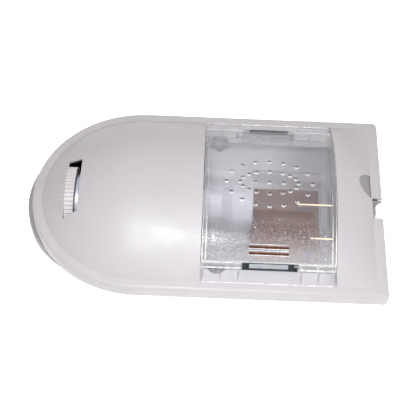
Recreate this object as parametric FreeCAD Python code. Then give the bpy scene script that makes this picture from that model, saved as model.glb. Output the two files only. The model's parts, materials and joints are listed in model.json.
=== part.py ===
"""Garage door opener head for a ceiling rail, lying on its back.

Design frame, millimetres: +X runs from the rounded end to the square end, +Z is up out of
the cover, z = 0 is the top of the flange, and x = y = 0 is the centre of the rounded end.
Each sub-part is moved to the part's own frame (centre of the base) when it is written.
"""
import FreeCAD, Part
import math
import os
from FreeCAD import Vector

X_AXIS = Vector(1, 0, 0)
Y_AXIS = Vector(0, 1, 0)
Z_AXIS = Vector(0, 0, 1)
TINY = 1e-6

# Housing
HALF_WIDTH = 120.0            # plan half width, also the radius of the rounded end
RIGHT_END = 262.4             # square end
CORNER_R = 5.0
EDGE_R = 4.0                  # rounding of the flange's outer edge
WALL = 2.4
GAP = 0.3                     # clearance between parts that only lie side by side
SKIRT = 13.5                  # flange skirt height
FLANGE = 10.7                 # flat width of the flange
CROWN = 36.6                  # height of the crowned cover over the flange
CROWN_HALF = HALF_WIDTH - FLANGE
CROWN_R = (CROWN_HALF ** 2 + CROWN ** 2) / (2 * CROWN)
CROWN_Z = CROWN - CROWN_R     # height of the crown arc's centre
RAMP_START = 208.4
RAMP_END = 250.4
RAMP_WALL = 3.8               # wall of the ramp measured along X

# Back pan
DEPTH = 58.0                  # flange top to the back
BAND_X = -26.8                # centre of the round band behind the rounded end
BAND_R = 98.8
BAND_LOW = -24.0
PAN_FLOOR = -DEPTH
PAN_INSIDE = PAN_FLOOR + WALL
PAN_HALF_LOW = 80.0           # half width of the flat back
PAN_RIGHT = 251.4
PAN_RIGHT_LOW = 238.0

# Rail channel in the back
RAIL_Y = -4.0
RAIL_HALF = 16.0
RAIL_ROOF = -45.0
RAIL_START = -32.0
CLAMP_XS = (60.0, 200.0)
CLAMP_LENGTH = 16.0
CLAMP_HALF = 27.0
CLAMP_THICK = 1.4
CLAMP_SCREW_OFFSET = 22.5
CLAMP_SCREW_R = 2.0
CLAMP_SCREW_TOP = -51.0

# Lamp bay and lens
BAY_LEFT = 65.6
BAY_RIGHT = 207.8
BAY_HALF = 109.4
LEDGE_TOP = -2.2
LEDGE_INNER = 82.4            # inner edge of the ledge, under the lens
LENS_LEFT = BAY_LEFT + 0.6
LENS_RIGHT = BAY_RIGHT - 0.6
LENS_WALL = 2.2
LENS_SIDE = 91.2              # outer face of the lens's upright sides
LENS_SIDE_TOP = 11.0
LENS_LEDGE_LOW = LEDGE_TOP + GAP
LENS_LEDGE_TOP = LENS_LEDGE_LOW + LENS_WALL
RIB_XS = (84.8, 103.6, 169.0, 187.0)      # gussets between side and ledge
RIB_THICK = 2.0
VENT_CENTRE = (136.0, -3.2)
VENT_HOLE_R = 1.3
VENT_SLOT_X = (115.5, 157.5)
VENT_SLOT_YS = (-75.8, -81.8)
VENT_SLOT_HALF = 1.7
FINS = ((-28.8, 166.0), (-65.2, 179.5))   # y and left end of each fin under the barrel
FIN_RIGHT = 203.0
LATCH_LEFT = 109.4
LATCH_RIGHT = 163.3
LATCH_FOOT_RIGHT = 167.5
LATCH_INNER = 86.8
LATCH_OUTER = LENS_SIDE - 0.2
LATCH_TOP = 11.2
BLADE_X = (116.6, 157.2)
BLADE_Z = (1.6, 9.8)
BLADE_THICK = 0.5

# Drive train
MOTOR_Y = -7.5
MOTOR_Z = -12.5
SHAFT_R = 3.0
RUNNING = 0.08                # radial clearance of a shaft in its bearing
PRESSED = 0.02                # radial clearance of a part fixed on its shaft
WHEEL_X = (-81.5, -72.0)
WHEEL_R = 42.0
WHEEL_TEETH = 58
SLOT_X = (-82.3, -67.5)       # slot in the cover for the hand wheel
SLOT_Y = (-38.8, 32.0)
CUP_R = 34.0                  # cupped bearing bracket beside the wheel
CUP_X = (-71.0, -67.9)
CUP_THICK = 1.6
WORM_MODULE = 1.25
WORM_R = 7.0                  # pitch radius
WORM_TURNS = 4.5
WORM_WHEEL_TEETH = 28
WORM_WHEEL_X = -45.0
WORM_WHEEL_R = WORM_WHEEL_TEETH * WORM_MODULE / 2
WORM_WHEEL_Y = MOTOR_Y + WORM_R + WORM_WHEEL_R
GEAR_MODULE = 1.5
PINION_TEETH = 12
OUTPUT_TEETH = 40
GEAR_DISTANCE = (PINION_TEETH + OUTPUT_TEETH) * GEAR_MODULE / 2
OUTPUT_X = WORM_WHEEL_X + math.sqrt(GEAR_DISTANCE ** 2 - (WORM_WHEEL_Y - RAIL_Y) ** 2)
OUTPUT_R = 6.0
PRESSURE_ANGLE = math.radians(20)
BACKLASH = 0.35

# Gearbox levels, from the bottom up
BASE_LOW = RAIL_ROOF + WALL
BASE_TOP = BASE_LOW + 1.0
GEAR_LOW = BASE_TOP + 0.5
GEAR_TOP = GEAR_LOW + 6.0
DECK_LOW = GEAR_TOP + 0.5
DECK_TOP = DECK_LOW + 2.0
BOX_TOP = 1.0
COVER_TOP = BOX_TOP + WALL
CHAMBER = (-66.5, 23.0, -39.4, 39.4)      # lower chamber: x0, x1, y0, y1
BOX = (-66.5, -23.5, -20.0, 39.4)         # worm box: x0, x1, y0, y1
CHAMBER_SCREWS = ((-60.5, -33.5), (-60.5, 33.5), (18.5, -34.0), (18.5, 34.0))
EAR_XS = (-60.0, -30.0)
EAR_R = 4.2

# Motor
MOTOR_R = 19.6
CAN_X = (-22.0, 34.0)
CAN_WALL = 1.6
ARMATURE_R = MOTOR_R - 5.8
COMMUTATOR_R = 6.0
END_CAP_X = (34.0, 42.0)
STRAP_X = (3.0, 15.0)
STRAP_THICK = 1.5

# Lampholder
LAMP_Y = -4.0
LAMP_Z = -8.0
LAMP_BACK = 51.0
LAMP_JOINT = 72.0             # where the cap behind and the shell meet
LAMP_MOUTH = 120.0
LAMP_R = 24.4
LAMP_NECK_R = 18.0
THREAD_R = 13.2
SLEEVE_X = (84.0, 112.5)

# Reflector tray, shield and control board
TRAY_TOP = -38.6
TRAY_THICK = 1.2
TRAY_LEFT = BAY_LEFT + 1.4
TRAY_RIGHT = BAY_RIGHT - 0.8
TRAY_NEAR = -74.0
TRAY_FAR = 47.0
TRAY_LIP_HALF = 99.0
TRAY_LIP_Z = -6.0
SHIELD = (118.5, 196.5, -74.0, 46.0)
SHIELD_THICK = 0.8
BOARD = (104.0, 200.0, -72.0, -24.0)
BOARD_LOW = -43.6
BOARD_THICK = 1.6
BOARD_SCREW_INSET = 4.0
KNOB_X = 184.0
BUTTON_X = 172.0
CONTROL_YS = (-46.0, -62.0)
CAP_TOP = -36.0
BUTTON_R = 2.5
KNOB_STEM_R = 2.0

# Fasteners that join the housing
COVER_SCREW_X = 82.5
COVER_SCREWS = ((COVER_SCREW_X, -87.2), (COVER_SCREW_X, 87.2))
COVER_SCREW_R = 2.0
LUG_LOW = -12.0
LUG_FLOOR = LUG_LOW + WALL
LUG_POCKET_R = 10.0
BOSS = (252.0, 24.4, 15.6)                # half-round boss that fills a cut in the ramp: x, y, radius
BOSS_EDGE = 250.0                         # straight side of the boss
BOSS_SINK = 1.2                           # depth of the boss under the ramp
NOTCH = (251.2, -18.0, 10.0)              # cut in the square end: x from, y from, y to
RELIEF = (256.6, -24.0, 22.0, -4.6)       # skirt cut back round the notch: x from, y from, y to, top
CEILING_XS = (-40.0, 90.0)
CEILING_Y = 60.0
CEILING_HOLE_R = 3.3
CORD_Y = 56.0
CORD_Z = -34.0
CORD_R = 3.9
GROMMET_R = 5.9

SHIFT = Vector(-(RIGHT_END + BAND_X - BAND_R) / 2, 0, DEPTH)


# ---------------------------------------------------------------- helpers

def box(x0, x1, y0, y1, z0, z1):
    """Box between two corners."""
    return Part.makeBox(x1 - x0, y1 - y0, z1 - z0, Vector(x0, y0, z0))


def post(x, y, radius, z0, z1):
    """Upright cylinder."""
    return Part.makeCylinder(radius, z1 - z0, Vector(x, y, z0), Z_AXIS)


def bar(radius, x0, x1, y=MOTOR_Y, z=MOTOR_Z):
    """Cylinder along X, on the motor axis unless told otherwise."""
    return Part.makeCylinder(radius, x1 - x0, Vector(x0, y, z), X_AXIS)


def ring(outer, inner, x0, x1, y=MOTOR_Y, z=MOTOR_Z):
    """Tube along X."""
    return bar(outer, x0, x1, y, z).cut(bar(inner, x0, x1, y, z))


def fuse(shapes):
    """One clean solid from several touching ones."""
    shapes = list(shapes)
    return shapes[0].multiFuse(shapes[1:]).removeSplitter() if shapes[1:] else shapes[0]


def drill(shape, tools):
    """Shape with every tool cut away."""
    return shape.cut(Part.makeCompound(list(tools)))


def polygon(points):
    """Face through points that lie in one plane."""
    return Part.Face(Part.makePolygon(list(points) + [points[0]]))


def mirrored(shape):
    """The shape and its mirror image across the plane y = 0."""
    return [shape, shape.mirror(Vector(0, 0, 0), Y_AXIS)]


def d_wire(centre_x, half, right, corner, z):
    """D-shaped outline: half round at the left, square with rounded corners at the right."""
    bulge = corner * (1 - math.sqrt(0.5))
    side = right - corner
    arc_end = Part.Arc(Vector(centre_x, half, z), Vector(centre_x - half, 0, z), Vector(centre_x, -half, z))
    arc_near = Part.Arc(Vector(side, -half, z), Vector(right - bulge, bulge - half, z),
                        Vector(right, corner - half, z))
    arc_far = Part.Arc(Vector(right, half - corner, z), Vector(right - bulge, half - bulge, z),
                       Vector(side, half, z))
    return Part.Wire([
        arc_end.toShape(),
        Part.makeLine(Vector(centre_x, -half, z), Vector(side, -half, z)),
        arc_near.toShape(),
        Part.makeLine(Vector(right, corner - half, z), Vector(right, half - corner, z)),
        arc_far.toShape(),
        Part.makeLine(Vector(side, half, z), Vector(centre_x, half, z)),
    ])


def d_slab(centre_x, half, right, corner, z0, z1):
    """Upright D-shaped slab."""
    return Part.Face(d_wire(centre_x, half, right, corner, z0)).extrude(Vector(0, 0, z1 - z0))


def crown_wire(inset, x, depth, rise=None):
    """Arched section at x, a wall thickness inside the crown, with its flat foot at -depth."""
    radius = CROWN_R - inset
    half = math.sqrt(radius ** 2 - CROWN_Z ** 2)
    top = CROWN_Z + radius if rise is None else rise
    arc = Part.Arc(Vector(x, -half, 0), Vector(x, 0, top), Vector(x, half, 0))
    return Part.Wire([
        arc.toShape(),
        Part.makeLine(Vector(x, half, 0), Vector(x, half, -depth)),
        Part.makeLine(Vector(x, half, -depth), Vector(x, -half, -depth)),
        Part.makeLine(Vector(x, -half, -depth), Vector(x, -half, 0)),
    ])


def crown(inset, depth):
    """Crowned volume: domed round end, straight barrel, and a ramp down to the square end."""
    radius = CROWN_R - inset
    half = math.sqrt(radius ** 2 - CROWN_Z ** 2)
    lean = math.atan2(-CROWN_Z, half) / 2 + math.pi / 4
    middle = Vector(0, radius * math.cos(lean), CROWN_Z + radius * math.sin(lean))
    top = Vector(0, 0, CROWN_Z + radius)
    half_section = Part.Wire([
        Part.makeLine(Vector(0, 0, -depth), Vector(0, half, -depth)),
        Part.makeLine(Vector(0, half, -depth), Vector(0, half, 0)),
        Part.Arc(Vector(0, half, 0), middle, top).toShape(),
        Part.makeLine(top, Vector(0, 0, -depth)),
    ])
    dome = Part.Face(half_section).revolve(Vector(0, 0, 0), Z_AXIS, 180)
    barrel = Part.Face(crown_wire(inset, 0, depth)).extrude(Vector(RAMP_START, 0, 0))
    ramp_end = RAMP_END - (RAMP_WALL if inset else 0)
    ramp = Part.makeLoft([crown_wire(inset, RAMP_START, depth), crown_wire(inset, ramp_end, depth, 0.3)],
                         True, True)
    return fuse([dome, barrel, ramp])


def gear(teeth, module, width, phase, bore_r):
    """Involute spur gear on +Z from z = 0, with a tooth centred on the angle phase (radians)."""
    pitch_r = teeth * module / 2
    base_r = pitch_r * math.cos(PRESSURE_ANGLE)
    tip_r = pitch_r + 0.9 * module
    root_r = pitch_r - 1.2 * module
    involute_at_pitch = math.tan(PRESSURE_ANGLE) - PRESSURE_ANGLE
    half_tooth = math.pi / (2 * teeth) - BACKLASH / (2 * pitch_r)
    flank = []
    steps = 4
    start_r = max(base_r, root_r)
    for step in range(steps + 1):
        r = start_r + (tip_r - start_r) * step / steps
        roll = math.acos(min(1.0, base_r / r))
        flank.append((r, half_tooth + involute_at_pitch - (math.tan(roll) - roll)))
    if root_r < start_r:
        flank.insert(0, (root_r, flank[0][1]))
    points = []
    for tooth in range(teeth):
        centre = phase + 2 * math.pi * tooth / teeth
        sides = [(r, centre - a) for r, a in flank] + [(r, centre + a) for r, a in reversed(flank)]
        points += [Vector(r * math.cos(a), r * math.sin(a), 0) for r, a in sides]
    blank = polygon(points).extrude(Vector(0, 0, width))
    return blank.cut(post(0, 0, bore_r, -1, width + 1))


def screw(x, y, seat_z, length, shank_r=1.5, head_r=3.0, head_h=1.8):
    """Pan-head screw pointing down, its head standing on seat_z, with a cross recess."""
    head = post(x, y, head_r, seat_z, seat_z + head_h)
    head = head.makeFillet(head_h * 0.4, [head.Edges[0]])
    shank = post(x, y, shank_r, seat_z - length, seat_z + 0.1)
    arm = head_r * 0.6
    slot = head_r * 0.12
    deep = seat_z + head_h * 0.4
    cross = fuse([box(x - arm, x + arm, y - slot, y + slot, deep, seat_z + 5),
                  box(x - slot, x + slot, y - arm, y + arm, deep, seat_z + 5)])
    return head.fuse(shank).removeSplitter().cut(cross)


def screw_hole(x, y, z0, z1, shank_r=1.5):
    """Hole for a screw's shank, a hair larger than the shank."""
    return post(x, y, shank_r + 0.05, z0, z1)


# ---------------------------------------------------------------- housing

def cover_flange():
    """Flat flange and its skirt with a rounded outer edge, before it is hollowed."""
    slab = d_slab(0, HALF_WIDTH, RIGHT_END, CORNER_R, -SKIRT, 0)
    rim = [edge for edge in slab.Edges if abs(edge.BoundBox.ZMin) < TINY and abs(edge.BoundBox.ZMax) < TINY]
    return slab.makeFillet(EDGE_R, rim)


def wheel_blister():
    """Low round blister with sloped sides, beside the hand wheel's slot."""
    x, y = -83.0, -5.0
    surface = Vector(x, y, CROWN_Z + math.sqrt(CROWN_R ** 2 - x * x - y * y))
    normal = (surface - Vector(0, 0, CROWN_Z)).normalize()
    foot_r, top_r, sink, height = 11.0, 8.0, 2.0, 3.6
    return Part.makeCone(foot_r, top_r, height, surface - normal * sink, normal)


def bay_end_wall(x0, x1):
    """Arched wall that closes the cover beside the lamp bay."""
    face = Part.Face(crown_wire(WALL / 2, x0, -LEDGE_TOP + WALL))
    return face.extrude(Vector(x1 - x0, 0, 0))


def cover_ledges():
    """Sunk ledge along both sides of the lamp bay, with the outer half of a screw lug in each."""
    x0, x1 = BAY_LEFT - WALL, BAY_RIGHT + WALL
    floor = box(x0, x1, LEDGE_INNER, BAY_HALF + WALL, LEDGE_TOP - WALL, LEDGE_TOP)
    riser = box(x0, x1, BAY_HALF, BAY_HALF + WALL, LEDGE_TOP - WALL, -WALL / 4)
    lug = post(COVER_SCREW_X, LEDGE_INNER, LUG_POCKET_R + WALL, LUG_LOW, LEDGE_TOP)
    lug = lug.common(box(x0, x1, LEDGE_INNER, BAY_HALF, LUG_LOW, LEDGE_TOP))
    return mirrored(fuse([floor, riser, lug]))


def notch_wall():
    """Wall between the ramp's foot and the notch in the square end."""
    x, y0, y1 = NOTCH
    return box(x - WALL, x, y0 - WALL, y1 - WALL, -SKIRT, -WALL / 4)


def half_round(radius, x1, z0, z1):
    """Upright half-round block at the foot of the ramp, cut off straight at x1."""
    x, y, full = BOSS
    return post(x, y, radius, z0, z1).common(box(x - full, x1, y - full, y + full, z0, z1))


def top_cover():
    """Crowned cover with flange, wheel slot, lamp bay, ramp, screw pockets and notch."""
    blister = wheel_blister().common(box(-HALF_WIDTH, 0, -HALF_WIDTH, HALF_WIDTH, 0, CROWN))
    outer = fuse([cover_flange(), crown(0, WALL), blister])
    inset = WALL + EDGE_R - 2
    hollow = d_slab(0, HALF_WIDTH - WALL, RIGHT_END - WALL, CORNER_R - WALL, -SKIRT - 1, -EDGE_R)
    hollow_top = d_slab(0, HALF_WIDTH - inset, RIGHT_END - inset, CORNER_R - WALL, -EDGE_R, -WALL)
    shell = drill(outer, [hollow, hollow_top, crown(WALL, EDGE_R)])
    bay = box(BAY_LEFT, BAY_RIGHT, -BAY_HALF, BAY_HALF, -SKIRT, CROWN + 5)
    walls = [bay_end_wall(BAY_LEFT - WALL, BAY_LEFT), bay_end_wall(BAY_RIGHT, BAY_RIGHT + WALL)]
    shell = fuse([shell.cut(bay), notch_wall()] + walls + cover_ledges())
    notch_x, y0, y1 = NOTCH
    relief_x, relief_y0, relief_y1, relief_top = RELIEF
    neck_room = LAMP_NECK_R + WALL
    wall_x = (BAY_LEFT - 2 * WALL, BAY_LEFT + 1)
    wheel_room = bar(WHEEL_R + 0.8, *SLOT_X).common(box(*SLOT_X, SLOT_Y[0] - 9, SLOT_Y[1], 0, CROWN))
    cuts = [
        box(*SLOT_X, *SLOT_Y, 0, CROWN),
        wheel_room,
        bar(neck_room, *wall_x, LAMP_Y, LAMP_Z),
        box(*wall_x, LAMP_Y - neck_room, LAMP_Y + neck_room, -SKIRT, LAMP_Z),
        box(notch_x, RIGHT_END + 1, y0, y1, -SKIRT - 1, 5),
        box(relief_x, RIGHT_END + 1, relief_y0, relief_y1, -SKIRT - 1, relief_top),
        half_round(BOSS[2], BOSS_EDGE, -SKIRT, CROWN),
    ]
    cuts += mirrored(post(COVER_SCREW_X, LEDGE_INNER, LUG_POCKET_R, LUG_FLOOR, 0))
    cuts += [screw_hole(x, y, LUG_LOW - 1, LUG_FLOOR + 1, COVER_SCREW_R) for x, y in COVER_SCREWS]
    return drill(shell, cuts)


def cover_screws():
    """Screws that hold the cover to the pan."""
    return Part.makeCompound([screw(x, y, LUG_FLOOR, 16, COVER_SCREW_R, 4.2, 2.8) for x, y in COVER_SCREWS])


def pan_dish(inset, top):
    """Drafted dish of the pan, a wall thickness inside its outer faces."""
    low = PAN_FLOOR + inset
    share = inset / (BAND_LOW - PAN_FLOOR)
    half_low = PAN_HALF_LOW + (BAND_R - PAN_HALF_LOW) * share - inset
    right_low = PAN_RIGHT_LOW + (PAN_RIGHT - PAN_RIGHT_LOW) * share - inset
    corner = 12.0 - inset
    drafted = Part.makeLoft([d_wire(BAND_X, half_low, right_low, corner, low),
                             d_wire(BAND_X, BAND_R - inset, PAN_RIGHT - inset, corner, BAND_LOW)], True, True)
    return drafted.fuse(d_slab(BAND_X, BAND_R - inset, PAN_RIGHT - inset, corner, BAND_LOW, top))


def pan_posts():
    """Bosses that stand up from the pan's floor: x, y, radius and top of each."""
    posts = [(x, y, 5.5, LUG_LOW) for x, y in COVER_SCREWS]
    posts += [(x, y, 5.0, BASE_LOW) for x, y in CHAMBER_SCREWS]
    posts += [(x, y, 3.4, BOARD_LOW) for x, y in board_corners()]
    posts += [(x, y, 5.0, CLAMP_SCREW_TOP + WALL) for x, y in clamp_screw_places()]
    posts += [(x, y, 8.0, PAN_INSIDE + 3) for x, y in ceiling_places()]
    return [post(x, y, radius, PAN_FLOOR + 1, top) for x, y, radius, top in posts]


def ceiling_places():
    """Holes for the bolts of the ceiling straps."""
    return [(x, side * CEILING_Y) for x in CEILING_XS for side in (-1, 1)]


def board_corners():
    """Screw places of the control board."""
    x0, x1, y0, y1 = BOARD
    inset = BOARD_SCREW_INSET
    return [(x, y) for x in (x0 + inset, x1 - inset) for y in (y0 + inset, y1 - inset)]


def clamp_screw_places():
    """Screw places of the two rail clamps."""
    middles = [x + CLAMP_LENGTH / 2 for x in CLAMP_XS]
    return [(x, RAIL_Y + side * CLAMP_SCREW_OFFSET) for x in middles for side in (-1, 1)]


def pan_tongue():
    """Tongue in the notch of the square end, with a gusset that rounds down to it from the flange."""
    x, _, y1 = NOTCH
    far, reach, thick, radius = y1 - GAP, 10.8, 2.0, 10.0
    tongue = box(x - 1, x + 5.4, -1.5, far, BAND_LOW, -SKIRT)
    gusset = box(x - 1, x + reach, far - thick, far, BAND_LOW, RELIEF[3] - GAP)
    round_x, round_z = x + 5.4 + radius, -SKIRT - 1
    scoop = Part.makeCylinder(radius, 2 * thick, Vector(round_x, far - 1.5 * thick, round_z), Y_AXIS)
    under = box(x + 5.4, x + reach, far - thick, far, BAND_LOW, round_z)
    return tongue.fuse(gusset.cut(scoop).cut(under))


def pan_boss():
    """Hollow half-round boss that rises through the ramp's foot, just under its surface."""
    radius = BOSS[2] - GAP
    body = half_round(radius, BOSS_EDGE - GAP, BAND_LOW, CROWN)
    hollow = half_round(radius - WALL, BOSS_EDGE - GAP - WALL, BAND_LOW - 1, CROWN)
    top, inner_top = crown(0, DEPTH), crown(0, DEPTH)
    top.translate(Vector(0, 0, -BOSS_SINK))
    inner_top.translate(Vector(0, 0, -BOSS_SINK - 2 * WALL))
    return body.common(top).cut(hollow.common(inner_top))


def back_pan():
    """Back pan: rim inside the skirt, round band, drafted dish, rail channel and bosses."""
    rim_inset = WALL + GAP
    rim = d_slab(0, HALF_WIDTH - rim_inset, RIGHT_END - rim_inset, CORNER_R - WALL, -SKIRT, -SKIRT + WALL)
    outer = fuse([rim, pan_dish(0, -SKIRT)])
    deck_hole = d_slab(0, HALF_WIDTH - 9, RIGHT_END - 9, CORNER_R, -SKIRT - WALL, 0).common(
        pan_dish(WALL, 0))
    hollow = pan_dish(WALL, -SKIRT - WALL)
    shell = drill(outer, [hollow, deck_hole])
    channel = box(RAIL_START - WALL, PAN_RIGHT, RAIL_Y - RAIL_HALF - WALL, RAIL_Y + RAIL_HALF + WALL,
                  PAN_FLOOR, RAIL_ROOF + WALL)
    inside = fuse([channel] + pan_posts()).common(pan_dish(0, -SKIRT + 3))
    shell = fuse([shell, inside, pan_boss()])
    notch_x, y0, y1 = NOTCH
    edge = WALL + GAP
    cord_room = GROMMET_R + 0.1
    cuts = [
        box(RAIL_START, RIGHT_END, RAIL_Y - RAIL_HALF, RAIL_Y + RAIL_HALF, PAN_FLOOR - 1, RAIL_ROOF),
        box(notch_x - edge, RIGHT_END, y0 - edge, y1 + edge, -SKIRT, 0),
        post(OUTPUT_X, RAIL_Y, OUTPUT_R + 3.0, RAIL_ROOF - 1, BASE_LOW + 1),
        bar(cord_room, PAN_RIGHT - 20, RIGHT_END, CORD_Y, CORD_Z),
        box(PAN_RIGHT - 20, RIGHT_END, CORD_Y - cord_room, CORD_Y + cord_room, CORD_Z, 0),
    ]
    cuts += [clamp_strap(x, GAP) for x in CLAMP_XS]
    cuts += [screw_hole(x, y, LUG_LOW - 15, 0, COVER_SCREW_R) for x, y in COVER_SCREWS]
    cuts += [screw_hole(x, y, BASE_LOW - 7, 0) for x, y in CHAMBER_SCREWS]
    cuts += [screw_hole(x, y, BOARD_LOW - 7, 0) for x, y in board_corners()]
    cuts += [screw_hole(x, y, PAN_FLOOR, CLAMP_SCREW_TOP + 1, CLAMP_SCREW_R) for x, y in clamp_screw_places()]
    cuts += [post(x, y, CEILING_HOLE_R, PAN_FLOOR - 1, RAIL_ROOF) for x, y in ceiling_places()]
    floor_screws = bracket_screw_places() + socket_screw_places() + transformer_screw_places()
    cuts += [screw_hole(x, y, PAN_INSIDE - 1.6, 0) for x, y in floor_screws]
    return drill(shell, cuts).fuse(pan_tongue()).removeSplitter()


def clamp_strap(x, room=0.0):
    """One flat strap across the channel, or the room for it."""
    low = PAN_FLOOR - (1 if room else 0)
    return box(x - room, x + CLAMP_LENGTH + room, RAIL_Y - CLAMP_HALF - room, RAIL_Y + CLAMP_HALF + room,
               low, PAN_FLOOR + CLAMP_THICK)


def rail_clamps():
    """Two flat straps across the rail channel, flush with the back."""
    holes = [clamp_screw(x, y, 0.06) for x, y in clamp_screw_places()]
    return Part.makeCompound([drill(clamp_strap(x), holes) for x in CLAMP_XS])


def clamp_screw(x, y, room=0.0):
    """Countersunk screw pointing up into the pan, flush with the back, or the room for it."""
    head_r, head_h, slot = 4.0, 1.3, 0.4
    head = Part.makeCone(head_r + room, CLAMP_SCREW_R + room, head_h, Vector(x, y, PAN_FLOOR), Z_AXIS)
    shank = post(x, y, CLAMP_SCREW_R + room, PAN_FLOOR + head_h - 0.1, CLAMP_SCREW_TOP)
    body = head.fuse(shank).removeSplitter()
    if room:
        return body
    return body.cut(box(x - slot, x + slot, y - 2.6, y + 2.6, PAN_FLOOR - 1, PAN_FLOOR + head_h / 2))


def rail_clamp_screws():
    """Countersunk screws of the rail clamps."""
    return Part.makeCompound([clamp_screw(x, y) for x, y in clamp_screw_places()])


def cord_grommet():
    """Rubber grommet for the mains cord in the square end of the pan."""
    inner_end = PAN_RIGHT - 11.4
    collar = bar(GROMMET_R + 2.3, inner_end + 2, PAN_RIGHT, CORD_Y, CORD_Z).cut(pan_dish(0, -SKIRT))
    body = bar(GROMMET_R, inner_end, PAN_RIGHT - 1.4, CORD_Y, CORD_Z)
    return fuse([collar, body]).cut(bar(CORD_R, inner_end - 10, RIGHT_END, CORD_Y, CORD_Z))


# ---------------------------------------------------------------- lens and latches

def oval_places(half_x, half_y, angles):
    """Places on an oval round the vents' centre: the angles in degrees, repeated in every quarter."""
    x, y = VENT_CENTRE
    places = set()
    for angle in angles:
        dx = round(half_x * math.cos(math.radians(angle)), 3)
        dy = round(half_y * math.sin(math.radians(angle)), 3)
        places |= {(x + side * dx, y + end * dy) for side in (-1, 1) for end in (-1, 1)}
    return sorted(places)


def vent_hole(x, y):
    """Hole through the crowned lens, countersunk on the outside."""
    crest = CROWN_Z + math.sqrt(CROWN_R ** 2 - y * y)
    sink = Part.makeCone(VENT_HOLE_R, VENT_HOLE_R + 1.6, 1.6, Vector(x, y, crest - 0.7), Z_AXIS)
    return fuse([post(x, y, VENT_HOLE_R, crest - 5, crest), sink])


def lens_vents():
    """Vent holes in an outer oval, an inner oval and a middle row, and two long slots near one side."""
    x, y = VENT_CENTRE
    places = [(x - 15.1, y), (x, y), (x + 15.1, y)]
    places += oval_places(46.0, 29.4, (0, 28, 51, 71, 90))
    places += oval_places(31.0, 14.5, (0, 24, 45, 63, 90))
    slots = [box(*VENT_SLOT_X, slot_y - VENT_SLOT_HALF, slot_y + VENT_SLOT_HALF, 5, CROWN)
             for slot_y in VENT_SLOT_YS]
    return [vent_hole(hole_x, hole_y) for hole_x, hole_y in places] + slots


def lens_rib(x):
    """Gusset between the lens's upright side and its ledge."""
    root, toe, low = LENS_SIDE - 0.5, BAY_HALF - 2, LENS_LEDGE_TOP - 0.5
    face = polygon([Vector(x, root, low), Vector(x, root, LENS_SIDE_TOP),
                    Vector(x, root + 2.5, LENS_SIDE_TOP - 1), Vector(x, toe, low + 1.1), Vector(x, toe, low)])
    return face.extrude(Vector(RIB_THICK, 0, 0))


def arch(x0, x1, outer_inset, inner_inset):
    """Strip of barrel between two offsets from the crown, as wide as the lens."""
    strip = bar(CROWN_R - outer_inset, x0, x1, 0, CROWN_Z).cut(bar(CROWN_R - inner_inset, x0, x1, 0, CROWN_Z))
    return strip.common(box(x0, x1, -LENS_SIDE, LENS_SIDE, 0, CROWN + 1))


def lens_fin(y, left):
    """Low fin under the barrel, along X."""
    crest = CROWN_Z + math.sqrt(CROWN_R ** 2 - y ** 2)
    half = 0.6
    return box(left, FIN_RIGHT, y - half, y + half, crest - LENS_WALL - 2.6, crest - LENS_WALL / 2)


def lamp_lens():
    """Clear lift-off lens: barrel, upright sides, ledges, gussets, fins and vents."""
    side = box(LENS_LEFT, LENS_RIGHT, LENS_SIDE - LENS_WALL, LENS_SIDE, LENS_LEDGE_LOW, LENS_SIDE_TOP)
    ledge = box(LENS_LEFT, LENS_RIGHT, LENS_SIDE - 1, BAY_HALF - GAP, LENS_LEDGE_LOW, LENS_LEDGE_TOP)
    ribs = [lens_rib(x) for x in (LENS_LEFT, *RIB_XS, LENS_RIGHT - RIB_THICK)]
    flank = fuse([side, ledge] + ribs)
    rim, step, deep = 1.5, 3.6, LENS_WALL + 4.5
    body = [arch(LENS_LEFT, LENS_RIGHT, 0, LENS_WALL)]
    for x in (LENS_LEFT, LENS_LEFT + step, LENS_RIGHT - rim - step, LENS_RIGHT - rim):
        body.append(arch(x, x + rim, 0, deep))
    lens = fuse(body + [lens_fin(*fin) for fin in FINS] + mirrored(flank))
    room = 0.7
    window = box(LATCH_LEFT - room, LATCH_FOOT_RIGHT + room, LEDGE_INNER - 1, LENS_SIDE + GAP,
                 LENS_LEDGE_LOW - 1, LATCH_TOP + room)
    finger_notch = box(123.5, 149.3, -BAY_HALF, -104.5, LENS_LEDGE_LOW - 1, 5)
    return drill(lens, mirrored(window) + lens_vents() + [finger_notch])


def latch_blocks():
    """Catch blocks on the cover's ledges, each with a recess for its spring blade."""
    across = (LATCH_INNER, LATCH_OUTER)
    ends = box(LATCH_LEFT, LATCH_RIGHT, *across, LEDGE_TOP, LATCH_TOP - 2.4)
    middle = box(BLADE_X[0] - 0.8, BLADE_X[1] + 0.8, *across, LEDGE_TOP, LATCH_TOP)
    foot = box(LATCH_LEFT, LATCH_FOOT_RIGHT, *across, LEDGE_TOP, LEDGE_TOP + 1.8)
    room = 0.4
    recess = box(BLADE_X[0] - room, BLADE_X[1] + room, LATCH_OUTER - 2.4, LENS_SIDE,
                 BLADE_Z[0] - room, BLADE_Z[1] + room)
    return Part.makeCompound(mirrored(fuse([ends, middle, foot]).cut(recess)))


def latch_blade():
    """Far spring blade with a folded lip along its free edge."""
    x0, x1 = BLADE_X
    z0, z1 = BLADE_Z
    face = LATCH_OUTER - 0.2
    blade = box(x0, x1, face - BLADE_THICK, face, z0, z1)
    lip = box(x0 + 2, x1 - 2, face - 0.8, face, z1 - 0.8, z1)
    return blade.fuse(lip).removeSplitter()


# ---------------------------------------------------------------- drive train

def around_motor(radius, angle, x):
    """Point at a radius and an angle round the motor's axis."""
    return Vector(x, MOTOR_Y + radius * math.cos(angle), MOTOR_Z + radius * math.sin(angle))


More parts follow.
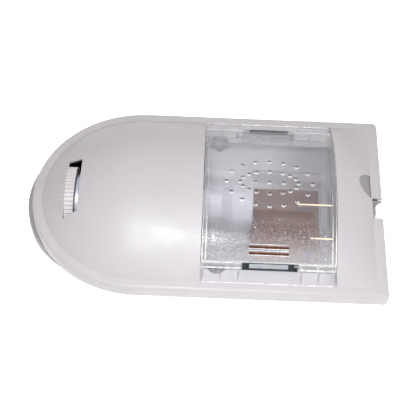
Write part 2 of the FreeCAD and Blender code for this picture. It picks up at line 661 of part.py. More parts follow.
def hand_wheel():
    """Ridged hand wheel on the motor shaft: rim, web with six holes, and hub."""
    left, right = WHEEL_X
    groove_r = WHEEL_R - 1.2
    tooth_shape = ((-0.40, WHEEL_R), (0.40, WHEEL_R), (0.46, groove_r), (0.54, groove_r))
    points = []
    for tooth in range(WHEEL_TEETH):
        for share, radius in tooth_shape:
            points.append(around_motor(radius, 2 * math.pi * (tooth + share) / WHEEL_TEETH, left))
    blank = polygon(points).extrude(Vector(right - left, 0, 0))
    dish, hub_r, rim_r = 3.2, 9.0, WHEEL_R - 7.0
    web_left, web_right = left + dish, right - dish
    cuts = [ring(rim_r, hub_r, left, web_left), ring(rim_r, hub_r, web_right, right),
            bar(SHAFT_R + PRESSED, left - 1, right + 1)]
    holes, hole_r, hole_ring = 6, 7.0, (rim_r + hub_r) / 2
    for turn in range(holes):
        centre = around_motor(hole_ring, 2 * math.pi * turn / holes, 0)
        cuts.append(bar(hole_r, web_left - 1, web_right + 1, centre.y, centre.z))
    return drill(blank, cuts)


def motor_shaft():
    """Shaft through hand wheel, worm and motor."""
    return bar(SHAFT_R, WHEEL_X[0] - 3, END_CAP_X[1] - 3)


def worm():
    """Single-start worm, pressed on the motor shaft."""
    pitch = math.pi * WORM_MODULE
    root_r = WORM_R - 1.2 * WORM_MODULE
    tip_r = WORM_R + 0.85 * WORM_MODULE
    start = WORM_WHEEL_X - pitch * WORM_TURNS / 2
    core = bar(root_r, start - 4, start + pitch * WORM_TURNS + 4)
    spine = Part.makeHelix(pitch, pitch * WORM_TURNS, WORM_R)
    foot, tip, root = 0.85, 0.40, root_r - 0.3
    corners = [(root, -foot), (tip_r, -tip), (tip_r, tip), (root, foot), (root, -foot)]
    section = Part.makePolygon([Vector(radius, 0, z) for radius, z in corners])
    thread = Part.Wire(spine.Edges).makePipeShell([section], True, True)
    thread.rotate(Vector(0, 0, 0), Y_AXIS, 90)
    thread.translate(Vector(start, MOTOR_Y, MOTOR_Z))
    whole = core.fuse(thread)
    return whole.cut(bar(SHAFT_R + PRESSED, start - 10, start + 40))


def wheel_bracket():
    """Zinc bearing bracket beside the hand wheel: a shallow cup with a leg and a foot."""
    x0 = CUP_X[0] + 0.6
    x1 = x0 + CUP_THICK
    half = 16.0
    head = bar(CUP_R - CUP_THICK / 2, x0, x1)
    rim = ring(CUP_R, CUP_R - CUP_THICK, *CUP_X)
    leg = box(x0, x1, MOTOR_Y - half, MOTOR_Y + half, PAN_INSIDE, MOTOR_Z)
    foot = box(x0, x1 + 10, MOTOR_Y - half, MOTOR_Y + half, PAN_INSIDE, PAN_INSIDE + CUP_THICK)
    cuts = [bar(SHAFT_R + RUNNING, x0 - 1, x1 + 1)]
    cuts += [screw_hole(x, y, PAN_INSIDE - 1, PAN_INSIDE + 3) for x, y in bracket_screw_places()]
    return drill(fuse([head, rim, leg, foot]), cuts)


def bracket_screw_places():
    """Screw places in the bracket's foot."""
    return [(-62.8, MOTOR_Y - 10), (-62.8, MOTOR_Y + 10)]


def bracket_screws():
    """Screws of the bearing bracket."""
    return Part.makeCompound([screw(x, y, PAN_INSIDE + 1.6, 3.1) for x, y in bracket_screw_places()])


def shaft_bushes():
    """Sintered bushes that carry the motor shaft in both walls of the worm box."""
    x0, x1 = BOX[0], BOX[1]
    bushes = [ring(5.5, SHAFT_R + RUNNING, x0, x0 + 4), ring(5.5, SHAFT_R + RUNNING, x1 - 4, x1)]
    return Part.makeCompound(bushes)


def gear_on(x, y, z, shape):
    """A gear made about the origin, moved to its shaft."""
    shape.translate(Vector(x, y, z))
    return shape


def worm_wheel():
    """Wheel driven by the worm, on the intermediate shaft."""
    phase = -math.pi / 2 + math.pi / WORM_WHEEL_TEETH
    width = 6.0
    rim = gear(WORM_WHEEL_TEETH, WORM_MODULE, width, phase, SHAFT_R + PRESSED)
    hub = post(0, 0, 6.5, -3, width + 3).cut(post(0, 0, SHAFT_R + PRESSED, -4, width + 4))
    return gear_on(WORM_WHEEL_X, WORM_WHEEL_Y, MOTOR_Z - width / 2, rim.fuse(hub).removeSplitter())


def intermediate_shaft():
    """Upright shaft that carries worm wheel and pinion."""
    return post(WORM_WHEEL_X, WORM_WHEEL_Y, SHAFT_R, BASE_LOW + 0.2, COVER_TOP - 0.3)


def mesh_angle():
    """Direction from the pinion to the output gear."""
    return math.atan2(RAIL_Y - WORM_WHEEL_Y, OUTPUT_X - WORM_WHEEL_X)


def pinion():
    """Pinion on the intermediate shaft."""
    return gear_on(WORM_WHEEL_X, WORM_WHEEL_Y, GEAR_LOW,
                   gear(PINION_TEETH, GEAR_MODULE, GEAR_TOP - GEAR_LOW, mesh_angle(), SHAFT_R + PRESSED))


def output_gear():
    """Large gear on the output shaft, with a lightened web."""
    phase = mesh_angle() + math.pi + math.pi / OUTPUT_TEETH
    width = GEAR_TOP - GEAR_LOW
    wheel = gear(OUTPUT_TEETH, GEAR_MODULE, width, phase, OUTPUT_R + PRESSED)
    groove = post(0, 0, 24, width - 1.5, width + 1).cut(post(0, 0, 11, width - 1.5, width + 1))
    return gear_on(OUTPUT_X, RAIL_Y, GEAR_LOW, wheel.cut(groove))


def output_shaft():
    """Stepped output shaft down into the rail channel."""
    return fuse([post(OUTPUT_X, RAIL_Y, OUTPUT_R, -56.0, GEAR_TOP),
                 post(OUTPUT_X, RAIL_Y, SHAFT_R, GEAR_TOP, DECK_TOP - 0.3)])


def drive_sprocket():
    """Chain sprocket on the output shaft: round tips with a roller seat between them."""
    teeth, pitch, roller_r = 8, 9.525, 3.2
    pitch_r = pitch / (2 * math.sin(math.pi / teeth))
    z0, z1 = -55.2, -47.6
    body = post(OUTPUT_X, RAIL_Y, pitch_r + 2.0, z0 + 2.2, z0 + 5.4)
    hub = post(OUTPUT_X, RAIL_Y, 8.6, z0, z1)
    seats = []
    for tooth in range(teeth):
        angle = 2 * math.pi * tooth / teeth
        seats.append(post(OUTPUT_X + pitch_r * math.cos(angle), RAIL_Y + pitch_r * math.sin(angle), roller_r,
                          z0 - 1, z1 + 1))
    shape = drill(body, seats).fuse(hub).removeSplitter()
    return shape.cut(post(OUTPUT_X, RAIL_Y, OUTPUT_R + PRESSED, z0 - 1, z1 + 1))


def output_bush():
    """Flanged bush that carries the output shaft in the channel's roof."""
    sleeve = post(OUTPUT_X, RAIL_Y, OUTPUT_R + 2.95, RAIL_ROOF, BASE_TOP)
    flange = post(OUTPUT_X, RAIL_Y, OUTPUT_R + 4.6, RAIL_ROOF - 1.2, RAIL_ROOF)
    return fuse([sleeve, flange]).cut(post(OUTPUT_X, RAIL_Y, OUTPUT_R + RUNNING, -60, -30))


def gearbox_base():
    """Steel plate under the lower gear chamber."""
    x0, x1, y0, y1 = CHAMBER
    plate = box(x0, x1, y0, y1, BASE_LOW, BASE_TOP)
    cuts = [post(OUTPUT_X, RAIL_Y, OUTPUT_R + 3.0, -50, -30),
            post(WORM_WHEEL_X, WORM_WHEEL_Y, SHAFT_R + RUNNING, -50, -30)]
    cuts += [screw_hole(x, y, -50, -30) for x, y in CHAMBER_SCREWS]
    return drill(plate, cuts)


def gearbox_housing():
    """Cast gearbox: lower chamber for the spur gears, box for worm and worm wheel on top."""
    x0, x1, y0, y1 = CHAMBER
    lower = box(x0, x1, y0, y1, BASE_TOP, DECK_TOP)
    lower = lower.cut(box(x0 + WALL, x1 - WALL, y0 + WALL, y1 - WALL, BASE_TOP - 1, DECK_LOW))
    pillars = [post(x, y, 4.2, BASE_TOP, DECK_TOP) for x, y in CHAMBER_SCREWS]
    bx0, bx1, by0, by1 = BOX
    upper = box(bx0, bx1, by0, by1, DECK_LOW, BOX_TOP)
    ears = [post(x, y, EAR_R, DECK_LOW, BOX_TOP) for x, y in ear_places()]
    body = fuse([lower, upper] + pillars + ears)
    cuts = [box(bx0 + WALL, bx1 - WALL, by0 + WALL, by1 - WALL, DECK_TOP, BOX_TOP + 1),
            bar(5.55, bx0 - 5, bx1 + 5),
            post(WORM_WHEEL_X, WORM_WHEEL_Y, SHAFT_R + RUNNING, DECK_LOW - 1, DECK_TOP + 1),
            post(OUTPUT_X, RAIL_Y, SHAFT_R + RUNNING, DECK_LOW - 1, DECK_TOP + 1)]
    cuts += [screw_hole(x, y, BASE_TOP - 1, DECK_TOP + 1) for x, y in CHAMBER_SCREWS]
    cuts += [screw_hole(x, y, BOX_TOP - 10, BOX_TOP + 1) for x, y in ear_places()]
    cuts += [screw_hole(x, y, DECK_LOW - 1, DECK_TOP + 1) for x, y in strap_screw_places()]
    return drill(body, cuts)


def ear_places():
    """Screw places round the worm box."""
    return [(x, y) for x in EAR_XS for y in (BOX[2] - 3.5, BOX[3] + 3.5)]


def gearbox_cover():
    """Lid of the worm box."""
    ears = [post(x, y, EAR_R, BOX_TOP, COVER_TOP) for x, y in ear_places()]
    plate = fuse([box(*BOX, BOX_TOP, COVER_TOP)] + ears)
    boss = post(WORM_WHEEL_X, WORM_WHEEL_Y, 6.0, COVER_TOP, COVER_TOP + 1.5)
    cuts = [post(WORM_WHEEL_X, WORM_WHEEL_Y, SHAFT_R + RUNNING, 0, COVER_TOP - 0.2)]
    cuts += [screw_hole(x, y, 0, COVER_TOP + 1) for x, y in ear_places()]
    return drill(fuse([plate, boss]), cuts)


def gearbox_screws():
    """Screws of the gearbox lid and of the gearbox on the pan."""
    lid = [screw(x, y, COVER_TOP, 11) for x, y in ear_places()]
    base = [screw(x, y, DECK_TOP, DECK_TOP - BASE_LOW + 6) for x, y in CHAMBER_SCREWS]
    return Part.makeCompound(lid + base)


# ---------------------------------------------------------------- motor

def motor_can():
    """Drawn steel can of the motor with its front wall."""
    can = ring(MOTOR_R, MOTOR_R - CAN_WALL, *CAN_X)
    front = ring(MOTOR_R, SHAFT_R + RUNNING, CAN_X[0] - 1.5, CAN_X[0])
    return fuse([can, front])


def motor_magnets():
    """Two arc magnets inside the can."""
    shell = ring(MOTOR_R - CAN_WALL - 0.05, ARMATURE_R + 0.7, CAN_X[0] + 6, CAN_X[1] - 12)
    gap = box(CAN_X[0], CAN_X[1], MOTOR_Y - 30, MOTOR_Y + 30, MOTOR_Z - 8, MOTOR_Z + 8)
    return shell.cut(gap)


def armature():
    """Slotted armature stack with its windings, on the motor shaft."""
    stack = ring(ARMATURE_R, SHAFT_R + PRESSED, CAN_X[0] + 10, CAN_X[1] - 16)
    slots = []
    for turn in range(8):
        slot = box(CAN_X[0] + 9, CAN_X[1] - 15, MOTOR_Y - 1.1, MOTOR_Y + 1.1, MOTOR_Z + ARMATURE_R - 4,
                   MOTOR_Z + ARMATURE_R + 1)
        slot.rotate(Vector(0, MOTOR_Y, MOTOR_Z), X_AXIS, 45 * turn)
        slots.append(slot)
    coil_r = ARMATURE_R - 2.6
    coils = [ring(coil_r, SHAFT_R + PRESSED, CAN_X[0] + 6, CAN_X[0] + 10),
             ring(coil_r, SHAFT_R + PRESSED, CAN_X[1] - 16, CAN_X[1] - 12)]
    return fuse([drill(stack, slots)] + coils)


def commutator():
    """Segmented commutator."""
    drum = ring(COMMUTATOR_R, SHAFT_R + PRESSED, CAN_X[1] - 10, CAN_X[1] - 3)
    cuts = []
    for turn in range(8):
        groove = box(CAN_X[1] - 11, CAN_X[1] - 2, MOTOR_Y - 0.2, MOTOR_Y + 0.2, MOTOR_Z + 5.2,
                     MOTOR_Z + 8)
        groove.rotate(Vector(0, MOTOR_Y, MOTOR_Z), X_AXIS, 45 * turn + 22.5)
        cuts.append(groove)
    return drill(drum, cuts)


def motor_brushes():
    """Carbon brushes on their ring plate."""
    end = CAN_X[1]
    plate_left = end - 1.6
    plate = ring(MOTOR_R - CAN_WALL - 0.1, 8.0, plate_left, end)
    half = 2.0
    reach = (MOTOR_Y + COMMUTATOR_R + 0.4, MOTOR_Y + MOTOR_R - 6)
    far = box(end - 8, plate_left, *reach, MOTOR_Z - half, MOTOR_Z + half)
    near = far.mirror(Vector(0, MOTOR_Y, 0), Y_AXIS)
    return fuse([plate, far, near])


def motor_end_cap():
    """Moulded end cap with the rear bearing and two terminals."""
    cap = fuse([bar(MOTOR_R, END_CAP_X[0], END_CAP_X[0] + 4), bar(12.0, *END_CAP_X)])
    tags = [box(END_CAP_X[0] + 4, END_CAP_X[1] + 1, MOTOR_Y + side * 15 - 0.4, MOTOR_Y + side * 15 + 0.4,
                MOTOR_Z - 2.4, MOTOR_Z + 2.4) for side in (-1, 1)]
    return fuse([cap] + tags).cut(bar(SHAFT_R + RUNNING, END_CAP_X[0] - 1, END_CAP_X[1] - 2.5))


def strap_screw_places():
    """Screw places of the motor strap."""
    middle = (STRAP_X[0] + STRAP_X[1]) / 2
    reach = MOTOR_R + STRAP_THICK + 4.5
    return [(middle, MOTOR_Y - reach), (middle, MOTOR_Y + reach)]


def motor_strap():
    """Steel strap over the motor with two feet on the gearbox deck."""
    inner = MOTOR_R + 0.05
    outer = inner + STRAP_THICK
    upper_half = box(*STRAP_X, MOTOR_Y - outer, MOTOR_Y + outer, MOTOR_Z, MOTOR_Z + outer)
    pieces = [ring(outer, inner, *STRAP_X).common(upper_half)]
    for side in (-1, 1):
        a, b, c = (MOTOR_Y + side * reach for reach in (inner, outer, outer + 8))
        pieces.append(box(*STRAP_X, min(a, b), max(a, b), DECK_TOP, MOTOR_Z))
        pieces.append(box(*STRAP_X, min(a, c), max(a, c), DECK_TOP, DECK_TOP + STRAP_THICK))
    holes = [screw_hole(x, y, DECK_TOP - 1, DECK_TOP + 3) for x, y in strap_screw_places()]
    return drill(fuse(pieces), holes)


def motor_strap_screws():
    """Screws of the motor strap."""
    return Part.makeCompound([screw(x, y, DECK_TOP + STRAP_THICK, 3.4) for x, y in strap_screw_places()])


# ---------------------------------------------------------------- lampholder

def lamp_profile(points):
    """Solid of revolution about the lampholder's axis from (x, radius) points."""
    face = polygon([Vector(x, LAMP_Y + radius, LAMP_Z) for x, radius in points])
    return face.revolve(Vector(0, LAMP_Y, LAMP_Z), X_AXIS, 360)


def lampholder_cap():
    """Closed cap behind the lampholder's shell, with a hole for the contact."""
    chamfer, stem_r = 1.0, 5.0
    end = LAMP_JOINT - 0.1
    return lamp_profile([
        (LAMP_BACK, stem_r), (LAMP_BACK, LAMP_NECK_R - chamfer), (LAMP_BACK + chamfer, LAMP_NECK_R),
        (end, LAMP_NECK_R), (end, stem_r),
    ])


def lampholder_shell():
    """Moulded shell: a neck that flares to a wide skirt round an inner tube."""
    neck_end, flare_end, lip, skirt_wall, tube_wall = 86.0, 97.0, 1.2, 2.4, 2.1
    bore_r = THREAD_R + 0.9
    tube_end, recess = LAMP_MOUTH - 4, flare_end + 3
    return lamp_profile([
        (LAMP_JOINT, bore_r), (LAMP_JOINT, LAMP_NECK_R), (neck_end, LAMP_NECK_R), (flare_end, LAMP_R),
        (LAMP_MOUTH - lip, LAMP_R), (LAMP_MOUTH, LAMP_R - lip), (LAMP_MOUTH, LAMP_R - skirt_wall),
        (recess, LAMP_R - skirt_wall), (recess, bore_r + tube_wall), (tube_end, bore_r + tube_wall),
        (tube_end, bore_r),
    ])


def lampholder_sleeve():
    """Brass screw sleeve inside the lampholder."""
    return ring(THREAD_R + 0.8, THREAD_R, *SLEEVE_X, LAMP_Y, LAMP_Z)


def lampholder_contact():
    """Centre contact: a stem through the cap, a tongue and a round tip."""
    x0, x1 = LAMP_JOINT + 0.4, LAMP_JOINT + 1.6
    stem = bar(4.8, LAMP_BACK + 4, x0, LAMP_Y, LAMP_Z)
    tongue = box(x0, x1, LAMP_Y - 3.5, LAMP_Y + 3.5, LAMP_Z - 10, LAMP_Z + 5)
    tip_r = 2.6
    tip = Part.makeSphere(tip_r, Vector(x1, LAMP_Y, LAMP_Z))
    front = box(x0, x1 + tip_r, LAMP_Y - tip_r, LAMP_Y + tip_r, LAMP_Z - tip_r, LAMP_Z + tip_r)
    return fuse([stem, tongue, tip.common(front)])


def lampholder_bracket():
    """Steel bracket that holds the lampholder's cap over the pan's floor."""
    x0, x1 = 55.0, 56.5
    half = LAMP_NECK_R + 6
    plate = box(x0, x1, LAMP_Y - half, LAMP_Y + half, BASE_LOW, LAMP_Z + half)
    spans = ((-42.0, -23.0), (15.0, 34.0))
    feet = [box(x0, x1 + 6, *span, PAN_INSIDE, PAN_INSIDE + 1.5) for span in spans]
    wings = [box(x0, x1, *span, PAN_INSIDE, LAMP_Z) for span in spans]
    cuts = [bar(LAMP_NECK_R + 0.05, x0 - 1, x1 + 1, LAMP_Y, LAMP_Z)]
    cuts += [screw_hole(x, y, PAN_INSIDE - 1, PAN_INSIDE + 3) for x, y in socket_screw_places()]
    return drill(fuse([plate] + wings + feet), cuts)


def socket_screw_places():
    """Screw places in the lampholder bracket's feet."""
    return [(59.5, LAMP_Y - 32), (59.5, LAMP_Y + 32)]


def lampholder_screws():
    """Screws of the lampholder bracket."""
    return Part.makeCompound([screw(x, y, PAN_INSIDE + 1.5, 3.0) for x, y in socket_screw_places()])


# ---------------------------------------------------------------- tray, board and transformer

def control_holes(extra):
    """Clearance holes for knobs and buttons through tray, shield and board."""
    knobs = [post(KNOB_X, y, KNOB_STEM_R + extra, -60, -30) for y in CONTROL_YS]
    buttons = [post(BUTTON_X, y, BUTTON_R + extra, -60, -30) for y in CONTROL_YS]
    return knobs + buttons


def tray_section(drop):
    """Tray section across the bay, lowered by drop and closed high above its lips."""
    low = TRAY_TOP - drop
    lip = TRAY_LIP_Z - drop
    corners = ((-TRAY_LIP_HALF, lip), (TRAY_NEAR, low), (TRAY_FAR, low), (TRAY_LIP_HALF, lip))
    return [Vector(0, y, z) for y, z in corners]


def tray_block(drop, x0, x1):
    """Filled tray between two stations along X."""
    face = polygon(tray_section(drop))
    face.translate(Vector(x0, 0, 0))
    return face.extrude(Vector(x1 - x0, 0, 0))


def lamp_reflector():
    """White reflector tray under the lens: floor, sloping sides and two end walls."""
    outer = tray_block(TRAY_THICK, TRAY_LEFT, TRAY_RIGHT)
    inner = tray_block(0, TRAY_LEFT + TRAY_THICK, TRAY_RIGHT - TRAY_THICK)
    inner = inner.fuse(box(TRAY_LEFT - 1, TRAY_RIGHT + 1, -110, 110, TRAY_LIP_Z - TRAY_THICK, 0))
    cuts = [inner, bar(LAMP_NECK_R + 0.6, TRAY_LEFT - 1, TRAY_LEFT + 3, LAMP_Y, LAMP_Z)]
    cuts += mirrored(post(COVER_SCREW_X, LEDGE_INNER, LUG_POCKET_R + WALL + 0.8, LUG_LOW - 0.8, 0))
    cuts += [post(x, y, 6.3, PAN_FLOOR, 0) for x, y in COVER_SCREWS]
    cuts += control_holes(0.6)
    return drill(outer, cuts)


def board_shield():
    """Brown pressboard sheet on the tray's floor, over the control board."""
    x0, x1, y0, y1 = SHIELD
    sheet = box(x0, x1, y0, y1, TRAY_TOP, TRAY_TOP + SHIELD_THICK)
    return drill(sheet, control_holes(0.6))


def control_board():
    """Printed circuit board on the pan's bosses."""
    x0, x1, y0, y1 = BOARD
    plate = box(x0, x1, y0, y1, BOARD_LOW, BOARD_LOW + BOARD_THICK)
    holes = [screw_hole(x, y, -60, -30) for x, y in board_corners()]
    return drill(plate, holes + control_holes(0.4))


def board_screws():
    """Screws of the control board."""
    top = BOARD_LOW + BOARD_THICK
    screws = [screw(x, y, top, BOARD_THICK + 6, 1.5, 2.8, 1.6) for x, y in board_corners()]
    return Part.makeCompound(screws)


def hung(x0, x1, y0, y1, height):
    """Box that hangs from the board's underside."""
    return box(x0, x1, y0, y1, BOARD_LOW - height, BOARD_LOW)


def relays():
    """Two motor relays."""
    return Part.makeCompound([hung(x, x + 19, -63, -48, 10.0) for x in (112.0, 133.5)])


def capacitors():
    """Three electrolytic capacitors."""
    return Part.makeCompound([post(x, -36, 5.0, BOARD_LOW - 10.5, BOARD_LOW) for x in (116.0, 128.5, 141.0)])


def microcontroller():
    """Controller chip."""
    return hung(156, 164, -66, -41, 3.2)


def terminal_block():
    """Screw terminals for wall button and safety sensor."""
    body = hung(148, 170, -35, -26, 8.5)
    low, high = BOARD_LOW - 7.5, BOARD_LOW - 4
    entries = [box(x, x + 3.6, -27.5, -25, low, high) for x in (150.0, 155.3, 160.6, 165.9)]
    return drill(body, entries)


def fuse_link():
    """Glass fuse in two clips."""
    tube = bar(2.5, 175, 193, -36, BOARD_LOW - 4)
    clips = [hung(x, x + 3, -39, -33, 2.0) for x in (175.5, 189.5)]
    return fuse([tube] + clips)


def receiver_module():
    """Radio receiver board with its tuned coil."""
    return fuse([hung(190, 198, -62, -40, 2.0), post(194, -44, 2.4, BOARD_LOW - 7, BOARD_LOW - 1.9)])


def trimmer_bases():
    """Bodies of the two force trimmers, under the board."""
    bodies = []
    for y in CONTROL_YS:
        body = hung(KNOB_X - 4.5, KNOB_X + 4.5, y - 4.5, y + 4.5, 5.0)
        bodies.append(body.cut(post(KNOB_X, y, KNOB_STEM_R + 0.05, BOARD_LOW - 3.6, BOARD_LOW + 1)))
    return Part.makeCompound(bodies)


def button_bases():
    """Bodies of the two push buttons, under the board."""
    bodies = []
    for y in CONTROL_YS:
        body = hung(BUTTON_X - 3.8, BUTTON_X + 3.8, y - 3.8, y + 3.8, 4.2)
        bodies.append(body.cut(post(BUTTON_X, y, BUTTON_R + 0.3, BOARD_LOW - 3.2, BOARD_LOW + 1)))
    return Part.makeCompound(bodies)


def force_knob(y):
    """Adjusting knob with a screwdriver slot, on a stem into its trimmer."""
    stem = post(KNOB_X, y, KNOB_STEM_R, BOARD_LOW - 3.3, TRAY_TOP + SHIELD_THICK + 0.5)
    head = post(KNOB_X, y, 4.6, TRAY_TOP + SHIELD_THICK + 0.4, -34.4)
    slot = box(KNOB_X - 3.6, KNOB_X + 3.6, y - 0.6, y + 0.6, -35.8, -34)
    flutes = []
    for turn in range(12):
        angle = math.pi * turn / 6
        flutes.append(post(KNOB_X + 5.0 * math.cos(angle), y + 5.0 * math.sin(angle), 0.8, -40, -30))
    return drill(fuse([stem, head]), [slot] + flutes).removeSplitter()


def push_button(y):
    """Push button cap with a rounded top."""
    cap = post(BUTTON_X, y, BUTTON_R, BOARD_LOW - 2.0, CAP_TOP)
    top = [edge for edge in cap.Edges if abs(edge.BoundBox.ZMin - CAP_TOP) < 1e-3]
    return cap.makeFillet(0.8, top)


def transformer_screw_places():
    """Screw places in the transformer's feet."""
    return [(221.5, 29.0), (221.5, 75.5)]


def transformer_core():
    """Laminated core with two feet."""
    x0, x1 = 214.5, 228.5
    foot_top = PAN_INSIDE + 1.5
    block = box(x0, x1, 34, 70, PAN_INSIDE, -17)
    windows = [box(x0 - 5, x1 + 5, y, y + 6, -49, -23.5) for y in (39.5, 58.5)]
    feet = [box(x0, x1, 24, 34, PAN_INSIDE, foot_top), box(x0, x1, 70, 77, PAN_INSIDE, foot_top)]
    holes = [screw_hole(x, y, PAN_FLOOR, foot_top + 1) for x, y in transformer_screw_places()]
    return drill(fuse([drill(block, windows)] + feet), holes)


def transformer_winding():
    """Winding and bobbin round the core's middle leg."""
    coil = box(209.5, 233.5, 39.7, 64.3, -48.8, -23.7)
    upright = [edge for edge in coil.Edges if edge.BoundBox.ZLength > 20]
    coil = coil.makeFillet(4, upright)
    return coil.cut(box(214.3, 228.7, 45.3, 58.7, -50, -20))


def transformer_screws():
    """Screws of the transformer."""
    places = transformer_screw_places()
    return Part.makeCompound([screw(x, y, PAN_INSIDE + 1.5, 3.0, 1.5, 2.6) for x, y in places])


def sub_parts():
    """Every sub-part by node name."""
    blade = latch_blade()
    return {
        "top_cover": top_cover(), "back_pan": back_pan(), "cover_screws": cover_screws(),
        "rail_clamps": rail_clamps(), "rail_clamp_screws": rail_clamp_screws(), "cord_grommet": cord_grommet(),
        "lamp_lens": lamp_lens(), "latch_blocks": latch_blocks(),
        "latch_blade_far": blade, "latch_blade_near": mirrored(blade)[1],
        "hand_wheel": hand_wheel(), "motor_shaft": motor_shaft(), "worm": worm(),
        "wheel_bracket": wheel_bracket(), "bracket_screws": bracket_screws(), "shaft_bushes": shaft_bushes(),
        "worm_wheel": worm_wheel(), "intermediate_shaft": intermediate_shaft(), "pinion": pinion(),
        "output_gear": output_gear(), "output_shaft": output_shaft(), "drive_sprocket": drive_sprocket(),
        "output_bush": output_bush(), "gearbox_base": gearbox_base(), "gearbox_housing": gearbox_housing(),
        "gearbox_cover": gearbox_cover(), "gearbox_screws": gearbox_screws(),
        "motor_can": motor_can(), "motor_magnets": motor_magnets(), "armature": armature(),
        "commutator": commutator(), "motor_brushes": motor_brushes(), "motor_end_cap": motor_end_cap(),
        "motor_strap": motor_strap(), "motor_strap_screws": motor_strap_screws(),
        "lampholder_cap": lampholder_cap(), "lampholder_shell": lampholder_shell(),
        "lampholder_sleeve": lampholder_sleeve(), "lampholder_contact": lampholder_contact(),
        "lampholder_bracket": lampholder_bracket(), "lampholder_screws": lampholder_screws(),
        "lamp_reflector": lamp_reflector(), "board_shield": board_shield(),
        "control_board": control_board(), "board_screws": board_screws(),
        "relays": relays(), "capacitors": capacitors(),
        "microcontroller": microcontroller(), "terminal_block": terminal_block(), "fuse_link": fuse_link(),
        "receiver_module": receiver_module(), "trimmer_bases": trimmer_bases(), "button_bases": button_bases(),
        "open_force_knob": force_knob(CONTROL_YS[0]), "close_force_knob": force_knob(CONTROL_YS[1]),
        "learn_button": push_button(CONTROL_YS[0]), "test_button": push_button(CONTROL_YS[1]),
        "transformer_core": transformer_core(), "transformer_winding": transformer_winding(),
        "transformer_screws": transformer_screws(),
    }


def write_all():
    """Move every sub-part to the part's frame and write it."""
    os.makedirs("parts", exist_ok=True)
    for name, shape in sub_parts().items():
        placed = shape.copy()
        placed.translate(SHIFT)
        placed.exportStep(os.path.join("parts", name + ".step"))
        size = placed.BoundBox
        print(f"{name:22s} solids {len(placed.Solids)} valid {placed.isValid()} volume {placed.Volume:10.1f} "
              f"x {size.XMin:7.1f} {size.XMax:7.1f} y {size.YMin:7.1f} {size.YMax:7.1f} "
              f"z {size.ZMin:6.1f} {size.ZMax:6.1f}")


write_all()
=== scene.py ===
"""Looks of the garage door opener head: stage, camera, light, materials and moulded detail."""
import json
import math
import random

import bmesh
import bpy
from mathutils import Matrix, Vector


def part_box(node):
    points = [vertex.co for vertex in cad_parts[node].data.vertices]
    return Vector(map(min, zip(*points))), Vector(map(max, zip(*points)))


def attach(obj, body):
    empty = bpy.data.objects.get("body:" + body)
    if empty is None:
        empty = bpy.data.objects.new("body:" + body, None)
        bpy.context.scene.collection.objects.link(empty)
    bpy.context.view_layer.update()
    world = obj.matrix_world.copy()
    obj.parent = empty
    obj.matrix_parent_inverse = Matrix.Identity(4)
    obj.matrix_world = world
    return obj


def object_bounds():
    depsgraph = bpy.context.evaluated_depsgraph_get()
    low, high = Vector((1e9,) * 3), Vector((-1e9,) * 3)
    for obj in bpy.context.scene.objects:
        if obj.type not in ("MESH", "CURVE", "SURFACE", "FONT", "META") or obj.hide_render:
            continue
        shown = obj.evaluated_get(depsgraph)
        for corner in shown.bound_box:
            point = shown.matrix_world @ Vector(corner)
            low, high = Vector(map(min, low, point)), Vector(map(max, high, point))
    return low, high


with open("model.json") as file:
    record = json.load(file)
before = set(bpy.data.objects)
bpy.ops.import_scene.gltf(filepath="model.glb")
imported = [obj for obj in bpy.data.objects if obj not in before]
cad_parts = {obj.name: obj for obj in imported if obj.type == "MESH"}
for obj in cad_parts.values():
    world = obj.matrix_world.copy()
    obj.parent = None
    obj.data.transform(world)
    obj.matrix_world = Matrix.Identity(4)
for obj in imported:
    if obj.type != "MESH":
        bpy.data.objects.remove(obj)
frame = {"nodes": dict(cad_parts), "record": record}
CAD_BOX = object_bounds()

MM = 0.001
NODES = frame["nodes"]

# Shape of the crowned cover, which the lens follows
FLANGE_TOP = 58 * MM
FLANGE = 10.7 * MM
COVER_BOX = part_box("top_cover")
CROWN_TOP = COVER_BOX[1][2]
CROWN_HALF = COVER_BOX[1][1] - FLANGE
CROWN_RISE = CROWN_TOP - FLANGE_TOP
CROWN_R = (CROWN_HALF ** 2 + CROWN_RISE ** 2) / (2 * CROWN_RISE)
LENS_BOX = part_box("lamp_lens")
LENS_SIDE = 91 * MM
SIDE_TOP = FLANGE_TOP + 11 * MM
LEDGE_TOP = FLANGE_TOP - 0.4 * MM
EDGE_R = 0.5 * MM                        # bead radius of most moulded edges
RIM_INSET = 0.6 * MM                     # end rims from the lens's ends
SLOT_XS = (47 * MM, 89 * MM)             # ends of the two long vent slots
SLOT_YS = (-75.8 * MM, -81.8 * MM)       # their middles
COVER_SCREW = (14.1 * MM, 87.2 * MM)     # screw pockets of the cover, one on either side


# ---------------------------------------------------------------- node helpers

